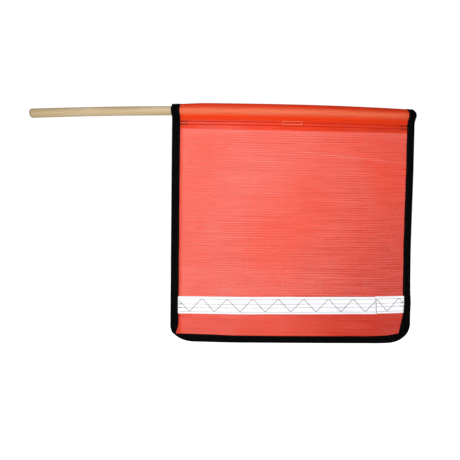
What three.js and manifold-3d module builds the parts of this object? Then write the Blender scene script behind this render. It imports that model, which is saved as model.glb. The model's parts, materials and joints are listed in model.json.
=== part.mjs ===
// A square signal flag on a wooden staff. The flag is a ribbed mesh cloth. Its top edge is turned
// back and sewn down with two rows, which makes a sleeve for the staff. Woven tape binds the
// sleeve's open mouth, closes its far end, and binds the flag's sides and bottom edge. A band of
// reflective trim is sewn across the lower part of the front.
//
// Millimetres, +Z up. The origin is the centre of the staff's grip end. The sleeve runs along +X,
// and the front of the flag faces -Y. The flag hangs straight down.

import * as THREE from 'three';
import { mergeVertices } from 'three/addons/utils/BufferGeometryUtils.js';
import Module from 'manifold-3d';

// ---- Driving dimensions: staff ----
const gripLength = 267.5; // bare staff, from its grip end to the mouth of the sleeve
const staffDiameter = 17;
const staffBow = 7; // rise of the bent staff's middle over its ends
const staffBevel = 1.8; // bevel round each end
const staffEndRoom = 13; // from the staff's far end to the flag's far edge

// ---- Driving dimensions: flag ----
const flagWidth = 457; // along the staff, over the bindings
const flagHeight = 446; // from the top of the sleeve to the bottom edge, over the binding
const clothThickness = 0.4;
const seamDepth = 20; // from the middle of the staff channel to the point where its sides meet
const flapDepth = 34.2; // from the middle of the channel to the raw edge of the turned-back cloth
const hingeDepth = 38; // from the middle of the channel to the line where the cloth swings
const noseTip = 0.9; // half the thickness of the sleeve's closed end, at its edge
const cornerRadius = 28; // the flag's lower corners
const lowerLean = 5; // how far the near side has leaned in by the time it reaches the bottom
const farSideShort = 7; // how much shorter the far side is than the near one

// ---- Driving dimensions: binding tape ----
const bindingWidth = 14.3; // folded, from the flag's edge to the tape's inner edge
const bindingThickness = 0.5;
const innerCornerRadius = 2;

// ---- Driving dimensions: thread ----
const threadWidth = 0.7;
const threadHeight = 0.25;
const seamRowDrop = 0.8; // upper seam row, below the point where the channel's sides meet
const seamRowSpacing = 5.7;
const backtackLength = 14;
const backtackWidth = 1.2;
const bindingStitchInset = 2.5; // stitch row, in from the binding's inner edge

// ---- Driving dimensions: reflective trim ----
const trimWidth = 33;
const trimThickness = 0.35;
const trimRise = 53; // from the flag's bottom edge to the trim's lower edge
const trimSlant = 4; // how far the trim climbs towards the far side, besides the flag's own slope
const shortTrimLength = 51; // the piece beyond the splice
const edgeRowInset = 5; // rows near the trim's edges
const twinRowSpacing = 6.6; // the two rows along its middle
const zigzagHalfPitch = 23.4; // from a peak to the next valley
const shortZigzagHalfPitch = 21.6;
const zigzagFirstValley = 21.7; // from the trim's near end

// ---- Driving dimensions: patch ----
const patchLength = 38;
const patchHeight = 9;
const patchThickness = 0.3;
const patchDistance = 208; // from the mouth of the sleeve to the patch's near end
const patchStitchInset = 1;

// ---- Clearances ----
const layerGap = 0.1; // between two layers that lie on each other
const endGap = 0.3; // between two pieces that meet end to end
const slideGap = 0.3; // between the staff at its highest and the mouth binding
const hingeGap = 0.9; // from the swing line up to the sleeve's cloth
const bindingHingeGap = 4.2; // from the swing line up to the sleeve's bindings
const bindingHingeDrop = 3.3; // from the swing line down to the side bindings

// ---- Derived sizes: staff ----
const staffRadius = staffDiameter / 2;
const staffLength = gripLength + flagWidth - staffEndRoom;
const bendRadius = staffLength ** 2 / (8 * staffBow);
const levelPoint = (gripLength + staffLength) / 2; // where the bent staff runs level
const crestHeight = bendRadius * (1 - Math.cos(levelPoint / bendRadius));
const insertedRise = bendRadius * (1 - Math.cos((staffLength - gripLength) / 2 / bendRadius));

// ---- Derived sizes: sleeve ----
const channelHeight = crestHeight - insertedRise / 2;
const channelRadius =
  staffRadius + insertedRise / 2 + slideGap + bindingThickness + layerGap;
const channelFlare = Math.asin(channelRadius / seamDepth); // slant of the sides that meet below
const sleeveRadius = channelRadius + clothThickness;
const bindingOutset = layerGap + bindingThickness;
const sleeveBindingDepth = hingeDepth - bindingHingeGap;

// ---- Derived sizes: flag ----
const flagStart = gripLength;
const flagEnd = gripLength + flagWidth;
const clothStart = flagStart + bindingOutset;
const clothEnd = flagEnd - bindingOutset;
const flagTop = channelHeight + sleeveRadius;
const flagBottom = flagTop - flagHeight;
const swingHeight = channelHeight - hingeDepth;
const sideBindingTop = swingHeight - bindingHingeDrop;
const noseStart = staffLength - 1;
const noseVoidEnd = clothEnd - 3;
const clothFront = -clothThickness; // the panel lies in line with the sleeve's front layer
const bindingFront = clothFront - bindingOutset;
const bindingBack = bindingOutset;

// ---- Derived sizes: trim ----
const trimStart = flagStart + bindingWidth + endGap;
const trimEnd = flagEnd - bindingWidth - endGap;
const trimLower = flagBottom + trimRise;
const trimUpper = trimLower + trimWidth;
const trimMiddle = (trimLower + trimUpper) / 2;
const trimBack = clothFront - layerGap;
const trimFront = trimBack - trimThickness;
const splice = trimEnd - shortTrimLength;
const rowBack = trimFront - layerGap;
const zigzagBack = rowBack - threadHeight - layerGap;
const spliceBack = zigzagBack - threadHeight - layerGap;
const upperEdgeRow = trimUpper - edgeRowInset;
const lowerEdgeRow = trimLower + edgeRowInset;
const spliceStitchInset = 2; // from the trim's upper and lower edges

// ---- Materials ----
const finishes = {
  wood: { color: 0xd9c19c, roughness: 0.6, metalness: 0 },
  mesh: { color: 0xf4503c, roughness: 0.7, metalness: 0 },
  binding: { color: 0x111113, roughness: 0.85, metalness: 0 },
  trim: { color: 0xf2f2f4, roughness: 0.35, metalness: 0 },
  redThread: { color: 0xd2230f, roughness: 0.6, metalness: 0 },
  blackThread: { color: 0x161415, roughness: 0.7, metalness: 0 },
  greyThread: { color: 0xa7a2a6, roughness: 0.6, metalness: 0 },
  paleThread: { color: 0xd9d6da, roughness: 0.6, metalness: 0 },
  patch: { color: 0xf6a090, roughness: 0.7, metalness: 0 },
};

// ---- Solids: joining and cutting ----
const wasm = await Module();
wasm.setup();

function solidOf(geometry) {
  const bare = geometry.clone();
  bare.deleteAttribute('normal');
  bare.deleteAttribute('uv');
  const welded = mergeVertices(bare, 1e-4);
  return new wasm.Manifold(
    new wasm.Mesh({
      numProp: 3,
      vertProperties: new Float32Array(welded.attributes.position.array),
      triVerts: new Uint32Array(welded.index.array),
    }),
  );
}

function geometryOf(solid) {
  const { vertProperties, triVerts } = solid.getMesh();
  const geometry = new THREE.BufferGeometry();
  geometry.setAttribute('position', new THREE.BufferAttribute(vertProperties, 3));
  geometry.setIndex(new THREE.BufferAttribute(triVerts, 1));
  geometry.computeVertexNormals();
  return geometry;
}

// ---- Extrusions ----
const arcSegments = 10;
const xAxis = new THREE.Vector3(1, 0, 0);
const yAxis = new THREE.Vector3(0, 1, 0);
const zAxis = new THREE.Vector3(0, 0, 1);

function extruded(shape, depth) {
  const options = { depth, bevelEnabled: false, curveSegments: arcSegments };
  return new THREE.ExtrudeGeometry(shape, options);
}

// A section drawn in (Y, Z) about the channel's middle, run along X.
function alongSleeve(section, from, to) {
  const geometry = extruded(section, to - from);
  geometry.applyMatrix4(new THREE.Matrix4().makeBasis(yAxis, zAxis, xAxis));
  return geometry.translate(from, 0, channelHeight);
}

// An outline drawn in (X, Z), given its thickness from back to front.
function faceOn(outline, back, front) {
  const geometry = extruded(outline, back - front);
  geometry.applyMatrix4(new THREE.Matrix4().makeBasis(xAxis, zAxis, yAxis.clone().negate()));
  return geometry.translate(0, back, 0);
}

function rectangle(left, right, lower, upper) {
  const shape = new THREE.Shape();
  shape.moveTo(left, lower);
  shape.lineTo(right, lower);
  shape.lineTo(right, upper);
  shape.lineTo(left, upper);
  return shape;
}

function box(left, right, back, front, lower, upper) {
  return faceOn(rectangle(left, right, lower, upper), back, front);
}

// ---- Staff ----
// The staff is turned straight along X, and then bent so that its inserted part stays level.
function bendStaff(geometry) {
  const place = geometry.attributes.position;
  const startAngle = levelPoint / bendRadius;
  for (let i = 0; i < place.count; i += 1) {
    const angle = (levelPoint - place.getX(i)) / bendRadius;
    const reach = bendRadius + place.getZ(i);
    const across = bendRadius * Math.sin(startAngle) - reach * Math.sin(angle);
    const up = reach * Math.cos(angle) - bendRadius * Math.cos(startAngle);
    place.setXYZ(i, across, place.getY(i), up);
  }
  geometry.computeVertexNormals();
  return geometry;
}

function staffGeometry() {
  const stations = 30;
  const sides = 32;
  const profile = [new THREE.Vector2(0, 0), new THREE.Vector2(staffRadius - staffBevel, 0)];
  const straight = staffLength - 2 * staffBevel;
  for (let i = 0; i <= stations; i += 1) {
    profile.push(new THREE.Vector2(staffRadius, staffBevel + (straight * i) / stations));
  }
  profile.push(new THREE.Vector2(staffRadius - staffBevel, staffLength));
  profile.push(new THREE.Vector2(0, staffLength));
  const geometry = new THREE.LatheGeometry(profile, sides);
  geometry.rotateZ(-Math.PI / 2);
  return bendStaff(geometry);
}

// ---- Sleeve sections, in (Y, Z) about the channel's middle ----
// The loop of the sleeve with its two layers below, to a given depth. The front layer alone can
// go on to a tail depth.
function loopSection(radius, halfStack, depth, tailDepth = depth) {
  const meet = (radius - halfStack * Math.cos(channelFlare)) / Math.sin(channelFlare);
  const shape = new THREE.Shape();
  shape.moveTo(halfStack, -depth);
  shape.lineTo(halfStack, -meet);
  shape.absarc(0, 0, radius, -channelFlare, Math.PI + channelFlare, false);
  shape.lineTo(-halfStack, -meet);
  shape.lineTo(-halfStack, -tailDepth);
  if (tailDepth > depth) {
    shape.lineTo(0, -tailDepth);
    shape.lineTo(0, -depth);
  }
  return shape;
}

// The hollow that the staff goes into.
function channelSection(radius) {
  const shape = new THREE.Shape();
  shape.moveTo(0, -radius / Math.sin(channelFlare));
  shape.lineTo(radius * Math.cos(channelFlare), -radius * Math.sin(channelFlare));
  shape.absarc(0, 0, radius, -channelFlare, Math.PI + channelFlare, false);
  return shape;
}

// ---- Sleeve's closed far end ----
// Seen from above, the sleeve narrows from the full loop to two layers at the far edge.
const noseSlope = (sleeveRadius - noseTip) / (clothEnd - noseStart);
const noseSlant = Math.atan(noseSlope);

function nosePlan(outset) {
  const widest = sleeveRadius + outset / Math.cos(noseSlant);
  const tip = clothEnd + outset;
  const narrowest = widest - noseSlope * (tip - noseStart);
  const shape = new THREE.Shape();
  shape.moveTo(flagStart, -widest);
  shape.lineTo(noseStart, -widest);
  shape.lineTo(tip, -narrowest);
  shape.lineTo(tip, narrowest);
  shape.lineTo(noseStart, widest);
  shape.lineTo(flagStart, widest);
  return shape;
}

function noseVoidPlan() {
  const shape = new THREE.Shape();
  shape.moveTo(flagStart, -channelRadius);
  shape.lineTo(noseStart, -channelRadius);
  shape.lineTo(noseVoidEnd, 0);
  shape.lineTo(noseStart, channelRadius);
  shape.lineTo(flagStart, channelRadius);
  return shape;
}

// A plan drawn in (X, Y), tall enough to take in the whole sleeve.
function fromAbove(plan) {
  const height = 2 * (hingeDepth + sleeveRadius);
  return extruded(plan, height).translate(0, 0, channelHeight - height / 2);
}

function sleeveSolid(outset, from, to, depth, tailDepth = depth) {
  const section = loopSection(sleeveRadius + outset, clothThickness + outset, depth, tailDepth);
  const loop = solidOf(alongSleeve(section, from, to));
  return loop.intersect(solidOf(fromAbove(nosePlan(outset))));
}

function channelSolid(inset, from, to) {
  return solidOf(alongSleeve(channelSection(channelRadius - inset), from, to));
}

function sleeveClothGeometry() {
  const plan = solidOf(fromAbove(noseVoidPlan()));
  const hollow = channelSolid(0, flagStart, noseVoidEnd).intersect(plan);
  const loop = sleeveSolid(0, clothStart, clothEnd, flapDepth, hingeDepth - hingeGap);
  return geometryOf(loop.subtract(hollow));
}

// The tape folded over the mouth's edge: an outer layer, an inner layer and the fold.
function mouthBindingGeometry() {
  const to = flagStart + bindingWidth;
  const past = to + 1;
  const slotStart = flagStart + bindingThickness;
  const blank = sleeveSolid(bindingOutset, flagStart, to, sleeveBindingDepth);
  const opening = channelSolid(bindingOutset, flagStart - 1, past);
  const clothSpace = sleeveSolid(layerGap, slotStart, past, sleeveBindingDepth + 1);
  const slot = clothSpace.subtract(channelSolid(layerGap, flagStart, past + 1));
  return geometryOf(blank.subtract(opening).subtract(slot));
}

// The tape folded over the closed far end.
function endBindingGeometry() {
  const from = flagEnd - bindingWidth;
  const past = flagEnd + 1;
  const blank = sleeveSolid(bindingOutset, from, past, sleeveBindingDepth);
  const slot = sleeveSolid(layerGap, from - 1, past, sleeveBindingDepth + 1);
  return geometryOf(blank.subtract(slot));
}

// ---- Panel ----
function panelOutline(inset, radius, upper) {
  const left = flagStart + inset;
  const right = flagEnd - inset;
  const lower = flagBottom + inset;
  const shape = new THREE.Shape();
  shape.moveTo(left, upper);
  shape.lineTo(left, lower + radius);
  shape.absarc(left + radius, lower + radius, radius, Math.PI, 1.5 * Math.PI, false);
  shape.absarc(right - radius, lower + radius, radius, 1.5 * Math.PI, 2 * Math.PI, false);
  shape.lineTo(right, upper);
  return shape;
}

// The flag as sewn: its near side leans in, and its far side is a little short.
function asSewn(geometry, slant = 0) {
  const place = geometry.attributes.position;
  const depth = swingHeight - flagBottom;
  for (let i = 0; i < place.count; i += 1) {
    const along = (place.getX(i) - flagStart) / flagWidth;
    const down = (swingHeight - place.getZ(i)) / depth;
    place.setX(i, place.getX(i) + lowerLean * (1 - along) * down);
    place.setZ(i, place.getZ(i) + farSideShort * along * down + slant * along);
  }
  geometry.computeVertexNormals();
  return geometry;
}

function panelClothGeometry() {
  const outline = panelOutline(bindingOutset, cornerRadius - bindingOutset, swingHeight);
  return asSewn(faceOn(outline, 0, clothFront));
}

// The binding of the sides and the bottom edge, folded over the cloth, and then cut into its
// three lengths.
function panelBindingSolid() {
  const past = swingHeight + 1;
  const outline = panelOutline(0, cornerRadius, swingHeight);
  const slot = panelOutline(bindingThickness, cornerRadius - bindingThickness, past);
  const window = panelOutline(bindingWidth, innerCornerRadius, past);
  const blank = solidOf(faceOn(outline, bindingBack, bindingFront));
  const clothSpace = solidOf(faceOn(slot, layerGap, clothFront - layerGap));
  const opening = solidOf(faceOn(window, bindingBack + 1, bindingFront - 1));
  return blank.subtract(clothSpace).subtract(opening);
}

const cornerTop = flagBottom + cornerRadius; // where the side bindings meet the bottom one

function bindingLength(left, right, lower, upper) {
  const part = solidOf(box(left, right, bindingBack + 1, bindingFront - 1, lower, upper));
  return asSewn(geometryOf(panelBindingSolid().intersect(part)));
}

function sideBindingGeometry(left, right) {
  return bindingLength(left, right, cornerTop + endGap, sideBindingTop);
}

function bottomBindingGeometry() {
  return bindingLength(flagStart - 1, flagEnd + 1, flagBottom - 1, cornerTop);
}

// ---- Threads ----
function levelThread(from, to, height, back, width = threadWidth) {
  return box(from, to, back, back - threadHeight, height - width / 2, height + width / 2);
}

function uprightThread(place, lower, upper, back, width = threadWidth) {
  return box(place - width / 2, place + width / 2, back, back - threadHeight, lower, upper);
}

// A ribbon of even height that joins the given corners.
function ribbon(corners, back) {
  const shape = new THREE.Shape();
  const half = threadWidth / 2;
  const lower = corners.map(([x, z]) => new THREE.Vector2(x, z - half));
  const upper = corners.map(([x, z]) => new THREE.Vector2(x, z + half)).reverse();
  shape.setFromPoints([...lower, ...upper]);
  return faceOn(shape, back, back - threadHeight);
}

// Zigzag corners from one end to the other, through a valley at firstValley.
function zigzagCorners(from, to, firstValley, halfPitch) {
  const middle = (upperEdgeRow + lowerEdgeRow) / 2;
  const swing = (upperEdgeRow - lowerEdgeRow) / 2 - threadWidth;
  const heightAt = (x) => {
    const turns = Math.abs((x - firstValley) / halfPitch) % 2;
    return middle + swing * (turns <= 1 ? 2 * turns - 1 : 3 - 2 * turns);
  };
  const corners = [[from, heightAt(from)]];
  const first = Math.ceil((from + 1 - firstValley) / halfPitch);
  const last = Math.floor((to - 1 - firstValley) / halfPitch);
  for (let turn = first; turn <= last; turn += 1) {
    const x = firstValley + turn * halfPitch;
    corners.push([x, heightAt(x)]);
  }
  corners.push([to, heightAt(to)]);
  return corners;
}

// ---- Assembly ----
const flag = new THREE.Group();
flag.name = 'signal_flag';

function add(name, geometry, finish) {
  const mesh = new THREE.Mesh(geometry, new THREE.MeshStandardMaterial(finish));
  mesh.name = name;
  flag.add(mesh);
}

function addStaff() {
  add('staff', staffGeometry(), finishes.wood);
}

function addSleeve() {
  add('sleeve_cloth', sleeveClothGeometry(), finishes.mesh);
  add('mouth_binding', mouthBindingGeometry(), finishes.binding);
  add('end_binding', endBindingGeometry(), finishes.binding);
}

function addSeam() {
  const rowStart = flagStart + bindingWidth + endGap;
  const rowEnd = flagEnd - bindingWidth - endGap;
  const upperRow = channelHeight - seamDepth - seamRowDrop;
  const rows = { upper: upperRow, lower: upperRow - seamRowSpacing };
  const back = clothFront - layerGap;
  for (const [level, height] of Object.entries(rows)) {
    const nearTack = rowStart + backtackLength;
    const farTack = rowEnd - backtackLength;
    const row = levelThread(nearTack + endGap, farTack - endGap, height, back);
    const near = levelThread(rowStart, nearTack, height, back, backtackWidth);
    const far = levelThread(farTack, rowEnd, height, back, backtackWidth);
    add(`seam_row_${level}`, row, finishes.redThread);
    add(`seam_backtack_near_${level}`, near, finishes.blackThread);
    add(`seam_backtack_far_${level}`, far, finishes.blackThread);
  }
}

// A woven patch on the back of the sleeve's seam, with its stitching round it.
function addPatch() {
  const from = flagStart + patchDistance;
  const to = from + patchLength;
  const upper = channelHeight - seamDepth - seamRowDrop;
  const lower = upper - patchHeight;
  const front = clothThickness + layerGap;
  const back = front + patchThickness;
  add('patch', box(from, to, back, front, lower, upper), finishes.patch);
  const inset = patchStitchInset;
  const loop = rectangle(from + inset, to - inset, lower + inset, upper - inset);
  const inner = inset + threadWidth;
  loop.holes.push(rectangle(from + inner, to - inner, lower + inner, upper - inner));
  const stitching = faceOn(loop, back + layerGap + threadHeight, back + layerGap);
  add('patch_stitching', stitching, finishes.paleThread);
}

function addPanel() {
  add('panel_cloth', panelClothGeometry(), finishes.mesh);
  const nearSide = sideBindingGeometry(flagStart - 1, flagStart + bindingWidth + 1);
  const farSide = sideBindingGeometry(flagEnd - bindingWidth - 1, flagEnd + 1);
  add('near_side_binding', nearSide, finishes.binding);
  add('far_side_binding', farSide, finishes.binding);
  add('bottom_binding', bottomBindingGeometry(), finishes.binding);
}

function addBindingStitches() {
  const back = bindingFront - layerGap;
  const inset = bindingWidth - bindingStitchInset;
  const lower = flagBottom + inset;
  const near = uprightThread(flagStart + inset, lower, sideBindingTop - endGap, back);
  const far = uprightThread(flagEnd - inset, lower, sideBindingTop - endGap, back);
  const clear = inset + threadWidth / 2 + endGap;
  const bottom = levelThread(flagStart + clear, flagEnd - clear, lower, back);
  add('near_side_stitching', asSewn(near), finishes.blackThread);
  add('far_side_stitching', asSewn(far), finishes.blackThread);
  add('bottom_stitching', asSewn(bottom), finishes.blackThread);
}

function addTrim() {
  const long = box(trimStart, splice - endGap, trimBack, trimFront, trimLower, trimUpper);
  const short = box(splice, trimEnd, trimBack, trimFront, trimLower, trimUpper);
  add('trim_long', asSewn(long, trimSlant), finishes.trim);
  add('trim_short', asSewn(short, trimSlant), finishes.trim);
}

function addTrimRows() {
  const edges = { upper: upperEdgeRow, lower: lowerEdgeRow };
  for (const [level, height] of Object.entries(edges)) {
    const row = levelThread(trimStart, trimEnd, height, rowBack);
    add(`trim_edge_row_${level}`, asSewn(row, trimSlant), finishes.paleThread);
  }
  const twins = { upper: trimMiddle + twinRowSpacing / 2, lower: trimMiddle - twinRowSpacing / 2 };
  const tack = backtackLength / 2;
  for (const [level, height] of Object.entries(twins)) {
    const row = levelThread(trimStart + tack + endGap, trimEnd - tack - endGap, height, rowBack);
    const near = levelThread(trimStart, trimStart + tack, height, rowBack, backtackWidth);
    const far = levelThread(trimEnd - tack, trimEnd, height, rowBack, backtackWidth);
    add(`trim_middle_row_${level}`, asSewn(row, trimSlant), finishes.paleThread);
    add(`trim_backtack_near_${level}`, asSewn(near, trimSlant), finishes.blackThread);
    add(`trim_backtack_far_${level}`, asSewn(far, trimSlant), finishes.blackThread);
  }
}

function addTrimZigzag() {
  const firstValley = trimStart + zigzagFirstValley;
  const longCorners = zigzagCorners(trimStart, splice - endGap, firstValley, zigzagHalfPitch);
  const shortValley = splice + shortZigzagHalfPitch;
  const shortCorners = zigzagCorners(splice, trimEnd, shortValley, shortZigzagHalfPitch);
  add('zigzag_long', asSewn(ribbon(longCorners, zigzagBack), trimSlant), finishes.greyThread);
  add('zigzag_short', asSewn(ribbon(shortCorners, zigzagBack), trimSlant), finishes.greyThread);
  const lower = trimLower + spliceStitchInset;
  const upper = trimUpper - spliceStitchInset;
  const stitch = uprightThread(splice + threadWidth, lower, upper, spliceBack);
  add('splice_stitching', asSewn(stitch, trimSlant), finishes.greyThread);
}

addStaff();
addSleeve();
addSeam();
addPatch();
addPanel();
addBindingStitches();
addTrim();
addTrimRows();
addTrimZigzag();

export default flag;
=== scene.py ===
"""A square mesh signal flag, sewn round a wooden staff.

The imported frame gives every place: the staff, the sleeve that slides on it, and the panel that
swings below the sleeve's seam. This script builds the visible pieces round that frame: one mesh
cloth, the tape folded over its edges, the seams, a small woven patch, and the reflective trim
with its rows of stitches. Lengths are in metres, X runs along the staff, and the flag's front
faces -Y.
"""

import json
import logging
import math
import random
from dataclasses import dataclass, field
from enum import Enum
from functools import cached_property, reduce
from typing import Callable, Iterator, Sequence

import bmesh
import bpy
from mathutils import Matrix, Vector, noise


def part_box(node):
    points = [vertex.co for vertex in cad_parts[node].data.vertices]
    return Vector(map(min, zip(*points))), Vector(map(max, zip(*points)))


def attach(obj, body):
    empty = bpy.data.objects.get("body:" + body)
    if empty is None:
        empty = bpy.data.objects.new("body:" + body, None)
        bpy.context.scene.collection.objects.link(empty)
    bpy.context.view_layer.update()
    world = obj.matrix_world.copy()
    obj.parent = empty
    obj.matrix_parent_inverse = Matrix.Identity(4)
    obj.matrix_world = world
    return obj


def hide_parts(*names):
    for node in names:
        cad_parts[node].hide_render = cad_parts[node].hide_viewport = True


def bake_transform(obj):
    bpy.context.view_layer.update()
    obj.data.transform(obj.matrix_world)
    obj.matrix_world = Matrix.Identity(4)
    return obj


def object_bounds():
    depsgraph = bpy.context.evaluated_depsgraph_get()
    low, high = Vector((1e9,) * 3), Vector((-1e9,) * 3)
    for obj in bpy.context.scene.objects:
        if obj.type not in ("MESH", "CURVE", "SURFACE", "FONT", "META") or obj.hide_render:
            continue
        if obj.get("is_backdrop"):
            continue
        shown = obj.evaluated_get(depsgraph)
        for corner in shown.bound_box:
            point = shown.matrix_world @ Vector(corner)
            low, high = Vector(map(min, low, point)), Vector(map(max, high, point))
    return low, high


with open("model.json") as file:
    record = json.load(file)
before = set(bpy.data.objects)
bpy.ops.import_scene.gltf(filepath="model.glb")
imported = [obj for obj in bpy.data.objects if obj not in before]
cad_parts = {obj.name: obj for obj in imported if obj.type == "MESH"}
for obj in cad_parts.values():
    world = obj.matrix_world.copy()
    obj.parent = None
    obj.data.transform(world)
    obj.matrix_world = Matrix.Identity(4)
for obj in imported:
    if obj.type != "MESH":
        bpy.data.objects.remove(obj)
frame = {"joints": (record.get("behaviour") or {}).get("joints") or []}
cad_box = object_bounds()

MM = 0.001
GAP = 0.1 * MM  # between two pieces that lie on each other
THREAD_LIFT = 0.12 * MM  # from a face out to the foot of the stitches on it
SEAM_DROP = 0.8 * MM  # from the point where the loop's sides meet down to the first seam row
log = logging.getLogger("flag")

Point = Callable[[float, float], Vector]


# ---- Names and small helpers ----
class Body(Enum):
    """The bodies of the frame that a piece can move with."""

    STAFF = "staff"
    SLEEVE = "sleeve"
    PANEL = "panel"


class Slot(Enum):
    """The record's material slots."""

    WOOD = "wood"
    MESH = "mesh"
    BINDING = "binding"
    TRIM = "trim"
    RED_THREAD = "red_thread"
    BLACK_THREAD = "black_thread"
    GREY_THREAD = "grey_thread"
    PALE_THREAD = "pale_thread"
    PATCH = "patch"


class Face(Enum):
    """The side of the cloth that a layer or a stitch lies on."""

    FRONT = 1
    BACK = -1


def smooth(value: float) -> float:
    """A rise from 0 to 1 with level ends, clamped outside."""
    t = min(max(value, 0.0), 1.0)
    return t * t * (3 - 2 * t)


def hill(distance: float, width: float) -> float:
    """A bell of height 1 that is low beyond its width."""
    return math.exp(-((distance / width) ** 2))


def unevenness(first: float, second: float, seed: float) -> float:
    """Smooth noise from -1 to 1, the same each time."""
    return noise.noise(Vector((first, second, seed)))


def steps(first: float, last: float, pitch: float) -> list[float]:
    """Even stations from first to last, both included, no further apart than pitch."""
    count = max(1, math.ceil(abs(last - first) / pitch))
    return [first + (last - first) * index / count for index in range(count + 1)]


def srgb(*parts: int) -> tuple[float, ...]:
    """The linear colour of red, green and blue shares that are written from 0 to 255.

    Args:
        parts: The red, green and blue shares.

    Returns:
        The colour, with an alpha of 1.
    """
    shares = [part / 255 for part in parts]
    linear = [s / 12.92 if s <= 0.04045 else ((s + 0.055) / 1.055) ** 2.4 for s in shares]
    return (*linear, 1.0)


def add_object(name: str, data: bpy.types.ID | bmesh.types.BMesh) -> bpy.types.Object:
    """Put something in the scene.

    Args:
        name: Its name.
        data: Its data, or a finished bmesh, which is used up.

    Returns:
        The new object, at the origin.
    """
    if isinstance(data, bmesh.types.BMesh):
        mesh, data = data, bpy.data.meshes.new(name)
        mesh.to_mesh(data)
        mesh.free()
    made = bpy.data.objects.new(name, data)
    bpy.context.scene.collection.objects.link(made)
    return made


# ---- The flag's form ----
@dataclass(frozen=True)
class FlagForm:
    """Where every point of the sewn flag lies.

    A point has a place along the staff and a path: its distance up the cloth from the line where
    the panel swings. The path is negative on the panel. It goes on up the front of the hem, over
    the loop that holds the staff, and down the turned-back flap.
    """

    start: float
    end: float
    top: float
    swing: float
    channel: float
    seam: float
    radius: float
    nose: float
    ply: float = 0.4 * MM
    height: float = 446 * MM
    flap_depth: float = 34.2 * MM  # from the channel's middle to the flap's raw edge
    kink: float = 0.9 * MM  # half the length over which the cloth turns at the seam
    lean: float = 5 * MM
    far_rise: float = 7 * MM
    bow: float = 2.3 * MM
    bow_fall: float = 1.0 * MM
    near_inset: float = 0.7 * MM
    near_reach: float = 60 * MM
    far_reach: float = 130 * MM
    tip_reach: float = 36 * MM
    loop_reach: float = 9 * MM
    mouth_bulge: float = 2.6 * MM
    far_bulge: float = 3.8 * MM
    far_hollow: float = 2.2 * MM
    hollow_height: float = -250 * MM
    hollow_reach: float = 110 * MM
    trim_push: float = 1.0 * MM
    push_height: float = -347 * MM
    push_reach: float = 14 * MM
    corner_cut: float = 4.2 * MM
    corner_reach: float = 7 * MM
    crest_rise: float = 2.3 * MM  # how far the slack loop stands above the staff's own curve
    crest_fall: float = 0.7 * MM
    slack: float = 0.5 * MM
    spread_height: float = 8 * MM
    tape_spread: float = 1.3 * MM
    patch_spread: float = 0.6 * MM
    bottom_sag: float = 2.1 * MM
    nose_tip: float = 0.03  # the loop's width left at the flag's far edge
    crease_start: tuple[float, float] = (221 * MM, 4 * MM)  # from the start and the swing line
    crease_run: tuple[float, float] = (200 * MM, -58 * MM)
    crease_depth: float = 1.5 * MM
    crease_width: float = 7 * MM

    @classmethod
    def from_frame(cls) -> "FlagForm":
        """Read the flag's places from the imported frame.

        Returns:
            The form of the flag.
        """
        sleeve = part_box("sleeve_cloth")[1]
        row_low, row_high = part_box("seam_row_upper")
        hinge = next(joint for joint in frame["joints"] if joint["name"] == "flag_swing")
        return cls(
            start=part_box("mouth_binding")[0].x,
            end=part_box("end_binding")[1].x,
            top=sleeve.z,
            swing=hinge["pos_m"][2],
            channel=sleeve.z - sleeve.y,
            seam=(row_low.z + row_high.z) / 2 + SEAM_DROP,
            radius=sleeve.y - cls.ply / 2,
            nose=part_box("staff")[1].x - 1 * MM,
        )

    @property
    def bottom(self) -> float:
        """The height of the flag's lowest line, before it sags."""
        return self.top - self.height

    @property
    def flap_edge(self) -> float:
        """The height of the flap's raw edge."""
        return self.channel - self.flap_depth

    @property
    def flare(self) -> float:
        """The slant of the cloth that rises from the seam to the loop."""
        return math.asin(self.radius / (self.channel - self.seam))

    @property
    def hem(self) -> float:
        """The path at the seam."""
        return self.seam - self.swing

    @property
    def slope(self) -> float:
        """The length of the slanted cloth between the seam and the loop."""
        return (self.radius * math.cos(self.flare) - self.ply / 2) / math.sin(self.flare)

    @property
    def crest(self) -> float:
        """The path at the top of the loop."""
        return self.hem + self.slope + self.radius * (math.pi / 2 + self.flare)

    @property
    def raw_edge(self) -> float:
        """The path at the raw edge of the flap."""
        return self.behind(self.flap_edge - self.swing)

    def behind(self, path: float) -> float:
        """The path at the back that lies opposite a path at the front."""
        return 2 * self.crest - path

    def on_face(self, path: float, face: Face) -> float:
        """The path on one face of the doubled cloth, opposite a path at the front."""
        return path if face is Face.FRONT else self.behind(path)

    def share(self, along: float) -> float:
        """How far along the flag a place is, from 0 to 1."""
        return (along - self.start) / (self.end - self.start)

    def section(self, path: float) -> Vector:
        """The cloth's middle across the staff as (y, z), before any of the wear and slack.

        Args:
            path: The distance up the cloth from the swing line.

        Returns:
            The point.
        """
        rear = path > self.crest
        climb = self.behind(path) if rear else path
        if climb < self.hem:
            y, z = self.ply / 2, self.swing + climb
        elif climb < self.hem + self.slope:
            slid = climb - self.hem
            y = self.ply / 2 + slid * math.sin(self.flare)
            z = self.seam + slid * math.cos(self.flare)
        else:
            angle = (climb - self.hem - self.slope) / self.radius - self.flare
            y = self.radius * math.cos(angle)
            z = self.channel + self.radius * math.sin(angle)
        return Vector((y if rear else -y, z))

    def spread(self, along: float, height: float) -> float:
        """How far the flap stands off the front layer, over the tape and the patch.

        Args:
            along: The place along the staff.
            height: The height in the frame.

        Returns:
            The distance.
        """
        low = 1 - smooth((height - self.seam) / self.spread_height)
        tape = self.tape_spread * (1 - smooth((along - self.start - 15 * MM) / (35 * MM)))
        patch = self.patch_spread * hill(along - self.start - 227 * MM, 34 * MM)
        return max(tape, patch) * low

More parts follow.
